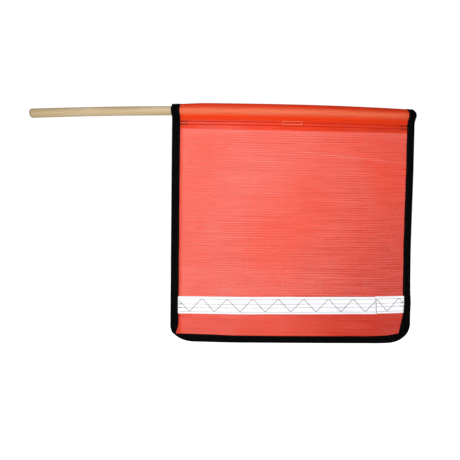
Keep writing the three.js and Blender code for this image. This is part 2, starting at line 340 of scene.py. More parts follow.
    def crease(self, along: float, height: float) -> float:
        """How deep the crease is that slants down the panel to the far side.

        Args:
            along: The place along the staff.
            height: The height in the frame.

        Returns:
            The depth.
        """
        start = Vector((self.start + self.crease_start[0], self.swing + self.crease_start[1]))
        line = Vector(self.crease_run)
        offset = Vector((along, height)) - start
        run = offset.dot(line) / line.length_squared
        depth = self.crease_depth * hill((offset - line * run).length, self.crease_width)
        return depth * smooth(run / 0.2) * smooth((1.05 - run) / 0.25)

    def ripple(self, along: float, height: float) -> float:
        """How far the hanging panel stands off its flat plane.

        Args:
            along: The place along the staff.
            height: The height in the frame.

        Returns:
            The distance towards the back.
        """
        u = self.share(along)
        drop = self.swing - height
        second = 0.9 * MM * hill(drop - 42 * MM - 30 * MM * u, 9 * MM) * smooth((u - 0.25) / 0.3)
        folds = 1.6 * MM * math.sin(7.3 * u + 0.8) * smooth(drop / (200 * MM))
        loose = 1.5 * MM * unevenness(along * 9, height * 13, 4.1)
        fine = 0.2 * MM * unevenness(along * 34, height * 90, 8.3)
        creased = self.crease(along, height) + second
        return (folds + loose + fine - creased) * smooth(drop / (35 * MM))

    def outline_shift(self, along: float, height: float) -> float:
        """How far the flag's sides stray along X from straight.

        Args:
            along: The place along the staff.
            height: The height in the frame.

        Returns:
            The distance towards the far side.
        """
        near = smooth(1 - (along - self.start) / self.near_reach)
        far = smooth(1 - (self.end - along) / self.far_reach)
        tip = smooth(1 - (self.end - along) / self.tip_reach)
        loop = hill(height - self.channel, self.loop_reach)
        hollow = self.far_hollow * hill(height - self.hollow_height, self.hollow_reach)
        push = self.trim_push * hill(height - self.push_height, self.push_reach)
        corner = max(0.0, 1 - (self.top - height) / self.corner_reach)
        shift = (self.near_inset - self.mouth_bulge * loop) * near + (push - hollow) * far
        return shift + (self.far_bulge * loop - self.corner_cut * corner**2) * tip

    def place(self, along: float, path: float, lift: float = 0.0, slant: float = 0.0) -> Vector:
        """The point of the flag at a place along the staff and a path.

        Args:
            along: The place along the staff, as the flag is drawn.
            path: The distance up the cloth from the swing line.
            lift: How far the point stands outside the cloth's middle.
            slant: How far a piece on the panel climbs towards the far side.

        Returns:
            The point in the frame.
        """
        u = self.share(along)
        before, here, after = (self.section(path + step) for step in (-self.kink, 0, self.kink))
        middle = (before + here + after) / 3
        tangent = (after - before).normalized()
        y = middle.x - tangent.y * lift
        z = middle.y + tangent.x * lift
        x = along + self.outline_shift(along, z)
        if path <= 0:
            v = (self.swing - z) / (self.swing - self.bottom)
            y += self.ripple(along, z)
            sag = self.bottom_sag * smooth(u / 0.3) * smooth((1 - u) / 0.15) * v * v
            x += self.lean * (1 - u) * v
            return Vector((x, y, z + self.far_rise * u * v + slant * u - sag))
        squash = smooth((along - self.nose + 3 * MM) / (self.end - self.nose + 3 * MM))
        width = abs(y)
        flat = min(width, self.ply / 2 + abs(lift))
        y = math.copysign(flat + (width - flat) * (1 - squash * (1 - self.nose_tip)), y)
        if path > self.crest:
            y += self.spread(along, z)
        risen = smooth((z - self.flap_edge) / (self.seam - self.flap_edge))
        high = smooth((z - self.channel) / self.radius)
        crest = self.crest_rise * smooth(u / 0.14) * smooth((1.25 - u) / 0.75)
        crest -= self.crest_fall * u**8
        z += (self.bow * 4 * u * (1 - u) - self.bow_fall * u) * risen + crest * high
        if width > 2 * MM:
            y += math.copysign(self.slack * unevenness(along * 16, path * 190, 2.2) * risen, y)
        return Vector((x, y, z))


# ---- Node trees ----
class Shader:
    """A material while its nodes are being joined."""

    def __init__(self, name: str) -> None:
        """Start an empty material.

        Args:
            name: The material's name.
        """
        self.material = bpy.data.materials.new(name)
        self.material.use_nodes = True
        self.tree = self.material.node_tree
        self.tree.nodes.clear()

    def node(self, kind: str, inputs: dict | None = None, **settings: object) -> bpy.types.Node:
        """Add a node.

        Args:
            kind: The node's type, without its ShaderNode prefix.
            inputs: Socket names or numbers, each with a value or the socket that feeds it.
            settings: The node's own properties.

        Returns:
            The node.
        """
        made = self.tree.nodes.new(f"ShaderNode{kind}")
        for key, value in settings.items():
            setattr(made, key, value)
        for key, value in (inputs or {}).items():
            if isinstance(value, bpy.types.NodeSocket):
                self.tree.links.new(value, made.inputs[key])
            else:
                made.inputs[key].default_value = value
        return made

    def coordinates(self, output: str) -> bpy.types.NodeSocket:
        """One of the surface's own coordinates."""
        return self.node("TexCoord").outputs[output]

    def placed(self, output: str, scale: Sequence[float]) -> bpy.types.NodeSocket:
        """Coordinates of the surface, stretched by a scale."""
        inputs = {"Vector": self.coordinates(output), "Scale": tuple(scale)}
        return self.node("Mapping", inputs).outputs["Vector"]

    def parts(self, output: str) -> bpy.types.NodeOutputs:
        """The three parts of a coordinate of the surface."""
        return self.node("SeparateXYZ", {0: self.coordinates(output)}).outputs

    def noise(self, output: str, scale: Sequence[float], detail: float) -> bpy.types.NodeSocket:
        """Noise from 0 to 1 over coordinates stretched by a scale."""
        inputs = {"Vector": self.placed(output, scale), "Scale": 1.0, "Detail": detail}
        return self.node("TexNoise", inputs).outputs["Fac"]

    def ridges(
        self, output: str, axis: str, per_metre: float, wobble: float = 0.0
    ) -> bpy.types.NodeSocket:
        """Even ridges across an axis.

        Args:
            output: The coordinates to use.
            axis: The axis that the ridges follow one another along.
            per_metre: How many ridges there are in a metre.
            wobble: How unevenly they run.

        Returns:
            Their height, from 0 to 1.
        """
        inputs = {
            "Vector": self.coordinates(output),
            "Scale": per_metre * math.pi / 10,
            "Distortion": wobble,
            "Detail": 1.0,
        }
        return self.node("TexWave", inputs, bands_direction=axis).outputs["Fac"]

    def maths(self, operation: str, *terms: object) -> bpy.types.NodeSocket:
        """Values or sockets joined one after another by the same sum.

        Args:
            operation: The name of the sum.
            terms: What it joins.

        Returns:
            The result.
        """

        def join(first: object, second: object) -> bpy.types.NodeSocket:
            """Two of the terms, joined."""
            return self.node("Math", {0: first, 1: second}, operation=operation).outputs[0]

        return reduce(join, terms)

    def add(self, *terms: object) -> bpy.types.NodeSocket:
        """The sum of the terms."""
        return self.maths("ADD", *terms)

    def times(self, *terms: object) -> bpy.types.NodeSocket:
        """The product of the terms."""
        return self.maths("MULTIPLY", *terms)

    def span(self, value: object, low: float, high: float) -> bpy.types.NodeSocket:
        """A value from 0 to 1, made to run from low to high."""
        return self.add(self.times(value, high - low), low)

    def rise(self, value: object, low: float, high: float) -> bpy.types.NodeSocket:
        """A smooth rise from 0 to 1 as a value goes from low to high."""
        inputs = {"Value": value, "From Min": low, "From Max": high}
        return self.node("MapRange", inputs, interpolation_type="SMOOTHSTEP").outputs["Result"]

    def ramp(
        self, value: object, ends: tuple[float, float], results: tuple[float, float]
    ) -> bpy.types.NodeSocket:
        """A smooth change between two results as a value goes from one end to the other."""
        return self.span(self.rise(value, *ends), *results)

    def blend(self, share: object, first: object, second: object) -> bpy.types.NodeSocket:
        """A colour between two others, by a share from 0 to 1."""
        return self.node("Mix", {0: share, 6: first, 7: second}, data_type="RGBA").outputs[2]

    def bump(self, height: object, strength: float, depth: float) -> bpy.types.NodeSocket:
        """A normal bent by a height."""
        inputs = {"Height": height, "Strength": strength, "Distance": depth}
        return self.node("Bump", inputs).outputs["Normal"]

    def surface(
        self, colour: object, roughness: object, normal: object, **more: float
    ) -> bpy.types.NodeSocket:
        """A plain surface.

        Args:
            colour: Its colour.
            roughness: Its roughness.
            normal: Its bent normal.
            more: Any other sockets, with underscores for the spaces in their names.

        Returns:
            The shader.
        """
        inputs = {"Base Color": colour, "Roughness": roughness, "Normal": normal}
        inputs |= {key.replace("_", " "): value for key, value in more.items()}
        return self.node("BsdfPrincipled", inputs).outputs[0]

    def finish(self, surface: bpy.types.NodeSocket) -> bpy.types.Material:
        """Join the surface to the output, and hand over the finished material."""
        self.node("OutputMaterial", {"Surface": surface})
        return self.material


@dataclass(frozen=True)
class Dowel:
    """Pale turned wood, with fine grain along it and small dark pores."""

    light: tuple = srgb(206, 186, 155)
    deep: tuple = srgb(182, 158, 120)
    pore: tuple = srgb(146, 120, 86)
    aged: tuple = srgb(164, 144, 104)
    handled_length: float = 0.12

    def material(self) -> bpy.types.Material:
        """Make the wood for the staff's side and ends.

        Returns:
            The material.
        """
        shader = Shader("wood")
        broad = shader.noise("Object", (5, 60, 60), 2)
        grain = shader.noise("Object", (18, 700, 700), 4)
        pores = shader.noise("Object", (90, 1500, 1500), 1)
        patches = shader.noise("Object", (16, 30, 30), 2)
        colour = shader.blend(shader.rise(broad, 0.35, 0.7), self.light, self.deep)
        streaked = shader.ramp(grain, (0.42, 0.75), (0.0, 0.45))
        colour = shader.blend(streaked, colour, self.deep)
        flecked = shader.ramp(pores, (0.66, 0.74), (0.0, 0.5))
        colour = shader.blend(flecked, colour, self.pore)
        held = shader.rise(shader.parts("Object")[0], self.handled_length, 0.0)
        handled = shader.times(held, shader.rise(patches, 0.2, 0.7))
        colour = shader.blend(shader.span(handled, 0.0, 0.85), colour, self.aged)
        roughness = shader.span(grain, 0.5, 0.72)
        return shader.finish(shader.surface(colour, roughness, shader.bump(grain, 0.25, 0.15 * MM)))


@dataclass(frozen=True)
class MeshCloth:
    """Thin red-orange knitted mesh that lets some of what is behind it show.

    Each cover is the share that thread covers on one face. A layer of cloth has two faces.
    """

    form: FlagForm
    bright: tuple = (0.93, 0.062, 0.01, 1.0)
    # deep is the red in painted shade, and in the weave's darker threads; the shading below blends
    # towards it
    deep: tuple = (0.6, 0.028, 0.009, 1.0)
    # Painted light: the pale staff seen through the cloth, painted brighter than the light that
    # passes the cloth would leave it
    lit_staff_through_mesh: tuple = (1.0, 0.27, 0.13, 1.0)  # stretched over the pale staff
    near_cover: float = 0.67
    far_cover: float = 0.78
    slack_cover: float = 0.92  # on the loop, above and below the staff
    stretched_cover: float = 0.72
    near_rear_cover: float = 0.5
    far_rear_cover: float = 0.82
    glow_share: float = 0.25
    rib_ends: tuple = (0.35, 0.65)
    streak_ends: tuple = (0.35, 0.75)
    crease_fall: float = -0.084  # how steeply the crease slants down along the staff

    def crease(self, shader: Shader, along: object, path: object) -> bpy.types.NodeSocket:
        """A painted highlight along the crease that slants down to the far side: the cover that is
        lost there, below 0, lets more white show through.

        Args:
            shader: The material being made.
            along: The place along the staff.
            path: The distance up the cloth from the swing line.

        Returns:
            The change in cover.
        """
        start = self.form.start
        sloped = shader.times(shader.maths("SUBTRACT", along, start), self.crease_fall)
        beside = shader.maths("SUBTRACT", path, shader.add(sloped, -16.5 * MM))
        ridge = shader.rise(shader.maths("ABSOLUTE", beside, 0.0), 3.4 * MM, 0.4 * MM)
        return shader.times(ridge, shader.rise(along, start + 215 * MM, start + 300 * MM), -0.07)

    def material(self) -> bpy.types.Material:
        """Make the cloth. Its map runs along the staff and up the cloth, in metres.

        Returns:
            The material.
        """
        form, shader = self.form, Shader("mesh_cloth")
        ribs = shader.noise("UV", (6, 520, 1), 2)
        streaks = shader.noise("UV", (20, 480, 1), 3)
        columns = shader.noise("UV", (420, 26, 1), 2)
        clouds = shader.noise("UV", (7, 6, 1), 2)
        cords = shader.ridges("UV", "Y", 216, 0.9)
        knit = shader.times(shader.ridges("UV", "Y", 620), shader.ridges("UV", "X", 760))
        along, path = shader.parts("UV")[:2]
        width = form.end - form.start
        # Painted shade: the cloth is darker towards the far side (far) and the bottom (low), with a
        # further step below the trim (under_trim)
        far = shader.rise(along, form.start + 0.3 * width, form.end + 0.16 * width)
        low = shader.rise(path, -0.06, -0.44)
        under_trim = shader.rise(path, -0.3, -0.35)
        # Painted shadow beside the near binding: the red is deeper there and the cover higher
        binding_shadow = shader.rise(along, form.start + 24 * MM, form.start + 16 * MM)
        # Besides the painted shade, clouds, streaks, ribs and cords add the mesh's own uneven tone
        # and weave
        shade = shader.add(
            shader.span(far, 0.0, 0.5),
            shader.span(low, 0.0, 0.22),
            shader.times(far, shader.span(low, 0.0, 0.35)),
            shader.span(clouds, -0.18, 0.18),
            shader.ramp(streaks, self.streak_ends, (-0.06, 0.13)),
            shader.times(under_trim, 0.12),
            shader.times(binding_shadow, 0.35),
            shader.ramp(ribs, self.rib_ends, (-0.12, 0.12)),
            shader.span(cords, -0.12, 0.12),
        )
        colour = shader.blend(shader.rise(shade, -0.1, 1.1), self.bright, self.deep)
        # Painted light: the loop turns towards this pale colour where the staff lies behind it,
        # less so towards the far side
        over = shader.times(
            shader.rise(path, form.hem + 9 * MM, form.hem + 20 * MM),
            shader.rise(path, form.crest - 9.5 * MM, form.crest - 18 * MM),
            shader.span(far, 1.05, 0.5),
            shader.ramp(streaks, (0.3, 0.7), (1.0, 0.66)),
        )
        colour = shader.blend(over, colour, self.lit_staff_through_mesh)
        normal = shader.bump(shader.add(knit, shader.span(ribs, 0.0, 1.6)), 0.5, 0.25 * MM)
        solid = shader.surface(colour, 0.7, normal, Specular_IOR_Level=0.05)
        glow = shader.node("BsdfTranslucent", {"Color": colour, "Normal": normal}).outputs[0]
        thread = shader.node("MixShader", {0: self.glow_share, 1: solid, 2: glow}).outputs[0]
        gap = shader.node("BsdfTransparent").outputs[0]
        # Painted shade: the cover grows towards the far side, so less white shows through and the
        # cloth is darker there
        thick = shader.rise(along, form.start + 0.15 * width, form.end + 0.05 * width)
        flap = shader.times(
            shader.rise(path, -10 * MM, -3 * MM), shader.rise(path, 9 * MM, 4 * MM), -0.03
        )
        closed = shader.add(
            shader.span(thick, self.near_cover, self.far_cover),
            shader.span(clouds, 0.05, -0.1),
            shader.times(binding_shadow, 0.12),
            # Painted shade also raises the cover towards the bottom and below the trim, so less
            # white shows through there
            shader.times(low, 0.04),
            shader.times(under_trim, 0.07),
            shader.ramp(streaks, self.streak_ends, (-0.015, 0.03)),
            shader.ramp(ribs, self.rib_ends, (-0.026, 0.032)),
            shader.span(cords, -0.06, 0.07),
            flap,
            self.crease(shader, along, path),
        )
        rear = shader.span(thick, self.near_rear_cover, self.far_rear_cover)
        covers = (
            (form.hem + 2 * MM, form.hem + 5 * MM, self.slack_cover),
            (form.hem + 10 * MM, form.hem + 17 * MM, self.stretched_cover),
            (form.crest - 9 * MM, form.crest - 4 * MM, self.slack_cover),
            (form.crest + 4 * MM, form.crest + 9 * MM, rear),
        )
        for first, last, cover in covers:
            share = shader.rise(path, first, last)
            kept = shader.times(closed, shader.maths("SUBTRACT", 1.0, share))
            closed = shader.add(kept, shader.times(share, cover))
        uneven = shader.ramp(columns, (0.3, 0.7), (-0.02, 0.02))
        closed = shader.add(closed, uneven, shader.span(knit, -0.03, 0.09))
        return shader.finish(shader.node("MixShader", {0: closed, 1: gap, 2: thread}).outputs[0])


@dataclass(frozen=True)
class WovenTape:
    """Narrow woven tape, ribbed across its width."""

    name: str
    colour: tuple
    worn: tuple
    ribs: float = 700.0
    roughness: float = 0.62
    gloss: float = 0.02

    def material(self) -> bpy.types.Material:
        """Make the tape. Its map runs along the tape and across it, in metres.

        Returns:
            The material.
        """
        shader = Shader(self.name)
        yarn = shader.ridges("UV", "Y", self.ribs * 1.6, 0.6)
        height = shader.add(shader.ridges("UV", "X", self.ribs), shader.span(yarn, 0.0, 0.5))
        wear = shader.rise(shader.noise("UV", (60, 160, 1), 4), 0.5, 0.8)
        colour = shader.blend(wear, self.colour, self.worn)
        normal = shader.bump(height, 0.5, 0.12 * MM)
        tape = shader.surface(colour, self.roughness, normal, Specular_IOR_Level=self.gloss)
        return shader.finish(tape)


@dataclass(frozen=True)
class Reflector:
    """Satin white reflective tape, pressed with a fine bead."""

    colour: tuple = srgb(238, 238, 241)
    soiled: tuple = srgb(222, 222, 227)
    beads: float = 2600

    def material(self) -> bpy.types.Material:
        """Make the trim. Its map runs along the tape and across it, in metres.

        Returns:
            The material.
        """
        shader = Shader("reflector")
        spots = {"Vector": shader.placed("UV", (self.beads, self.beads, 1)), "Scale": 1.0}
        bead = shader.node("TexVoronoi", spots).outputs["Distance"]
        height = shader.add(bead, shader.ridges("UV", "Y", 1400, 0.4))
        smudge = shader.noise("UV", (14, 40, 1), 4)
        colour = shader.blend(shader.rise(smudge, 0.48, 0.85), self.colour, self.soiled)
        roughness = shader.span(smudge, 0.34, 0.5)
        normal = shader.bump(height, 0.2, 0.08 * MM)
        return shader.finish(
            shader.surface(colour, roughness, normal, Coat_Weight=0.1, Coat_Roughness=0.35)
        )


@dataclass(frozen=True)
class Thread:
    """Twisted sewing thread."""

    name: str
    colour: tuple
    frayed: tuple
    slot: Slot

    @cached_property
    def material(self) -> bpy.types.Material:
        """The thread's material, made once for all its rows.

        Returns:
            The material.
        """
        shader = Shader(self.name)
        twist = shader.ridges("Object", "DIAGONAL", 1500, 1.5)
        change = shader.noise("Object", (150, 150, 150), 2)
        colour = shader.blend(change, self.colour, self.frayed)
        normal = shader.bump(twist, 0.6, 0.1 * MM)
        return shader.finish(shader.surface(colour, 0.6, normal, Specular_IOR_Level=0.15))


# ---- Making pieces ----
@dataclass
class Workbench:
    """Turns meshes into finished pieces of the flag, and reports each one."""

    form: FlagForm
    hang_reach: float = 3.6 * MM  # a reach above and below the swing line
    made: list[str] = field(default_factory=list)

    def sheet(
        self,
        name: str,
        across: Sequence[float],
        up: Sequence[float],
        at: Point,
        thickness: float,
        mapped: Callable[[float, float], tuple[float, float]] = lambda a, b: (a, b),
    ) -> bpy.types.Object:
        """Lay a grid of cloth over a surface, and give it its thickness, half on each side.

        Args:
            name: The piece's name.
            across: The stations of the columns.
            up: The stations of the rows.
            at: The point for a column's and a row's station.
            thickness: The cloth's thickness.
            mapped: The pattern's coordinates there.

        Returns:
            The piece.
        """
        columns, rows = len(across) - 1, len(up) - 1
        mesh = bmesh.new()
        bmesh.ops.create_grid(mesh, x_segments=columns, y_segments=rows, size=0.5)
        spots = {}
        for vertex in mesh.verts:
            a = across[round((vertex.co.x + 0.5) * columns)]
            b = up[round((vertex.co.y + 0.5) * rows)]
            vertex.co = at(a, b)
            spots[vertex] = mapped(a, b)
        layer = mesh.loops.layers.uv.new("UVMap")
        for face in mesh.faces:
            face.smooth = True
            for loop in face.loops:
                loop[layer].uv = spots[loop.vert]
        piece = add_object(name, mesh)
        solid = piece.modifiers.new("thickness", "SOLIDIFY")
        solid.thickness = thickness
        solid.offset = 0.0
        solid.use_even_offset = False
        return piece

    def finish(
        self,
        piece: bpy.types.Object,
        material: bpy.types.Material,
        slot: Slot,
        body: Body | None,
        *nodes: str,
    ) -> bpy.types.Object:
        """Dress a piece, put it on the body that it moves with, and hide the frame's nodes that it
        replaces.

        Args:
            piece: The piece.
            material: Its material.
            slot: The record's slot; not used.
            body: The body that it rides on, or None for a piece that spans the sleeve and the
                panel, which is then left on no body.
            nodes: The frame's nodes that it replaces.

        Returns:
            The piece.
        """
        if body is None:
            self.hang(piece)
        piece.data.materials.append(material)
        if nodes:
            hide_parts(*nodes)
        if body is not None:
            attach(piece, body.value)
        self.made.append(piece.name)
        log.info("%s: %d faces", piece.name, len(piece.data.polygons))
        return piece

    def hang(self, piece: bpy.types.Object) -> None:
        """Bake a piece's place into its mesh, for a piece that spans the sleeve and the panel.

        Args:
            piece: The piece.
        """
        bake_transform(piece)


# ---- Staff ----
@dataclass
class Staff:
    """A plain wooden dowel, slightly bent, with its ends rounded by hand."""

    length: float = 711.5 * MM
    radius: float = 8.8 * MM
    rise: float = 7 * MM
    level_point: float = 489.5 * MM
    round_over: float = 3.4 * MM
    round_depth: float = 1.25  # the grip end's rounding across the staff, as a share along it
    far_round: float = 1.8 * MM
    cut_slant: float = 0.1
    cut_reach: float = 12 * MM
    whittle: float = 0.012

    def bent(self, point: Vector) -> Vector:
        """Bend a point of the straight staff into the arc that the staff has.

        Args:
            point: A point of the straight staff.

        Returns:
            The point that it comes to.
        """
        bend = self.length**2 / (8 * self.rise)
        first = self.level_point / bend
        angle = (self.level_point - point.x) / bend
        reach = bend + point.z
        across = bend * math.sin(first) - reach * math.sin(angle)
        return Vector((across, point.y, reach * math.cos(angle) - bend * math.cos(first)))

    def profile(self) -> list[Vector]:
        """The outline that is turned round the staff's middle, from the grip end to the far one.

        Returns:
            Points from the middle of one end to the middle of the other.
        """
        round_down = self.round_depth * self.round_over
        spots = [(0, 0), (0, self.radius - round_down)]
        for turn in steps(0.0, math.pi / 2, math.pi / 12)[1:]:
            left = 1 - math.sin(turn)
            spots.append((self.round_over * (1 - left), self.radius - round_down * left**1.1))
        shaft = steps(self.round_over, self.length - self.far_round, 9 * MM)[1:]
        spots += [(x, self.radius) for x in shaft]
        spots.append((self.length - 0.3 * self.far_round, self.radius - 0.5 * MM))
        spots += [(self.length, self.radius - self.far_round), (self.length, 0)]
        return [Vector((x, 0, z)) for x, z in spots]

    def build(self, bench: Workbench) -> None:
        """Turn and bend the staff.

        Args:
            bench: Where pieces are made.
        """
        mesh = bmesh.new()
        verts = [mesh.verts.new(point) for point in self.profile()]
        edges = [mesh.edges.new(pair) for pair in zip(verts, verts[1:])]
        bmesh.ops.spin(
            mesh,
            geom=verts + edges,
            axis=(1, 0, 0),
            cent=(0, 0, 0),
            angle=2 * math.pi,
            steps=64,
            use_merge=True,
        )
        bmesh.ops.remove_doubles(mesh, verts=mesh.verts, dist=0.01 * MM)
        bmesh.ops.recalc_face_normals(mesh, faces=mesh.faces)
        for vertex in mesh.verts:
            near_end = smooth((self.cut_reach - vertex.co.x) / self.cut_reach)
            vertex.co.x -= vertex.co.z * self.cut_slant * near_end
            out = Vector((0, vertex.co.y, vertex.co.z))
            cut = unevenness(vertex.co.x * 14, vertex.co.z * 60, vertex.co.y * 60)
            vertex.co = self.bent(vertex.co + out * self.whittle * cut)
        for face in mesh.faces:
            face.smooth = abs(face.normal.x) < 0.95
        staff = add_object("wooden_staff", mesh)
        bench.finish(staff, Dowel().material(), Slot.WOOD, Body.STAFF, "staff")


# ---- Edges ----
@dataclass(frozen=True)
class Outline:
    """The flag's edge under the swing line, as it is drawn before the flag leans and sags."""

    form: FlagForm
    near_width: float = 15.7 * MM
    far_width: float = 14.0 * MM
    bottom_width: float = 14.4 * MM
    bottom_narrowing: float = 1.1 * MM
    near_round: tuple[float, float] = (37 * MM, 30 * MM)
    near_cut: float = 46 * MM  # how far along the bottom edge the near corner is cut away
    near_curl: float = 5.6 * MM  # how far the near tape's inner edge curls in
    near_curl_height: float = 36 * MM
    pinch: float = 14 * MM  # height of the point where the near corner's tape is narrowest
    far_round: tuple[float, float] = (44 * MM, 38 * MM)
    far_square: float = 2.18  # 2 would make the far corner an ellipse
    far_fold: tuple[float, float] = (7.5 * MM, 3.5 * MM)  # the inner corner, in and up
    far_reach: float = 52 * MM  # height where the far tape's inner edge runs straight again
    far_fullness: float = 0.4 * MM  # how much wider the far tape starts at its corner

    def near_edge(self, rise: float) -> float:
        """The near side's X at a height over the bottom edge.

        Args:
            rise: The height over the bottom edge.

        Returns:
            The X.
        """
        across, up = self.near_round
        across += (self.near_cut - across) * smooth((18 * MM - rise) / (8 * MM))
        share = min(1.0, max(0.0, 1 - rise / up))
        return self.form.start + across * (1 - math.sqrt(1 - share * share))

    def far_edge(self, rise: float) -> float:
        """The far side's X at a height over the bottom edge.

        Args:
            rise: The height over the bottom edge.

        Returns:
            The X.
        """
        across, up = self.far_round
        share = min(1.0, max(0.0, 1 - rise / up))
        kept = (1 - share**self.far_square) ** (1 / self.far_square)
        return self.form.end - across * (1 - kept)

    def bottom_edge(self, along: float) -> float:
        """The bottom edge's height over the flag's lowest line, with its near corner cut away."""
        share = min(1.0, max(0.0, 1 - (along - self.form.start) / self.near_cut))
        return self.near_round[1] * (1 - math.sqrt(1 - share * share))

    def path(self, rise: float) -> float:
        """The path at a height over the bottom edge."""
        return self.form.bottom + rise - self.form.swing

    def rise(self, path: float) -> float:
        """The height over the bottom edge at a path."""
        return path + self.form.swing - self.form.bottom

    def near_inner(self, rise: float) -> float:
        """The X of the near tape's inner edge, which curls in towards the pinched corner.

        Args:
            rise: The height over the bottom edge.

        Returns:
            The X.
        """
        top = self.near_curl_height
        curl = min(max(0.0, (top - rise) / (top - self.pinch)), 1.0)
        return self.form.start + self.near_width - self.near_curl * curl**1.5

    def bottom_inner(self, along: float) -> float:
        """The height of the bottom tape's inner edge.

        Args:
            along: The place along the staff.

        Returns:
            The height over the bottom edge.
        """
        narrow = smooth((along - self.form.start - 72 * MM) / (60 * MM))
        narrow *= 1 - smooth((along - self.form.end + 95 * MM) / (50 * MM))
        return self.bottom_width - self.bottom_narrowing * narrow

    def far_corner(self, turn: float) -> tuple[Vector, Vector]:
        """The outer and inner edge of the tape round the far corner.

        Args:
            turn: The angle round the corner, 0 at the bottom edge and pi / 2 at the side.

        Returns:
            The outer and the inner edge, each as its X and its height over the bottom edge.
        """
        across, up = self.far_round
        power = 2 / self.far_square
        x = self.form.end - across * (1 - math.sin(turn) ** power)
        outer = Vector((x, up * (1 - max(math.cos(turn), 0.0) ** power)))
        inner_far = self.form.end - self.far_width - self.far_fullness
        fold = Vector((inner_far - self.far_fold[0], self.bottom_width + self.far_fold[1]))
        low = Vector((self.form.end - across, self.bottom_width))
        high = Vector((inner_far, self.far_reach))
        half = turn / (math.pi / 4)
        return outer, low.lerp(fold, half) if half < 1 else fold.lerp(high, half - 1)


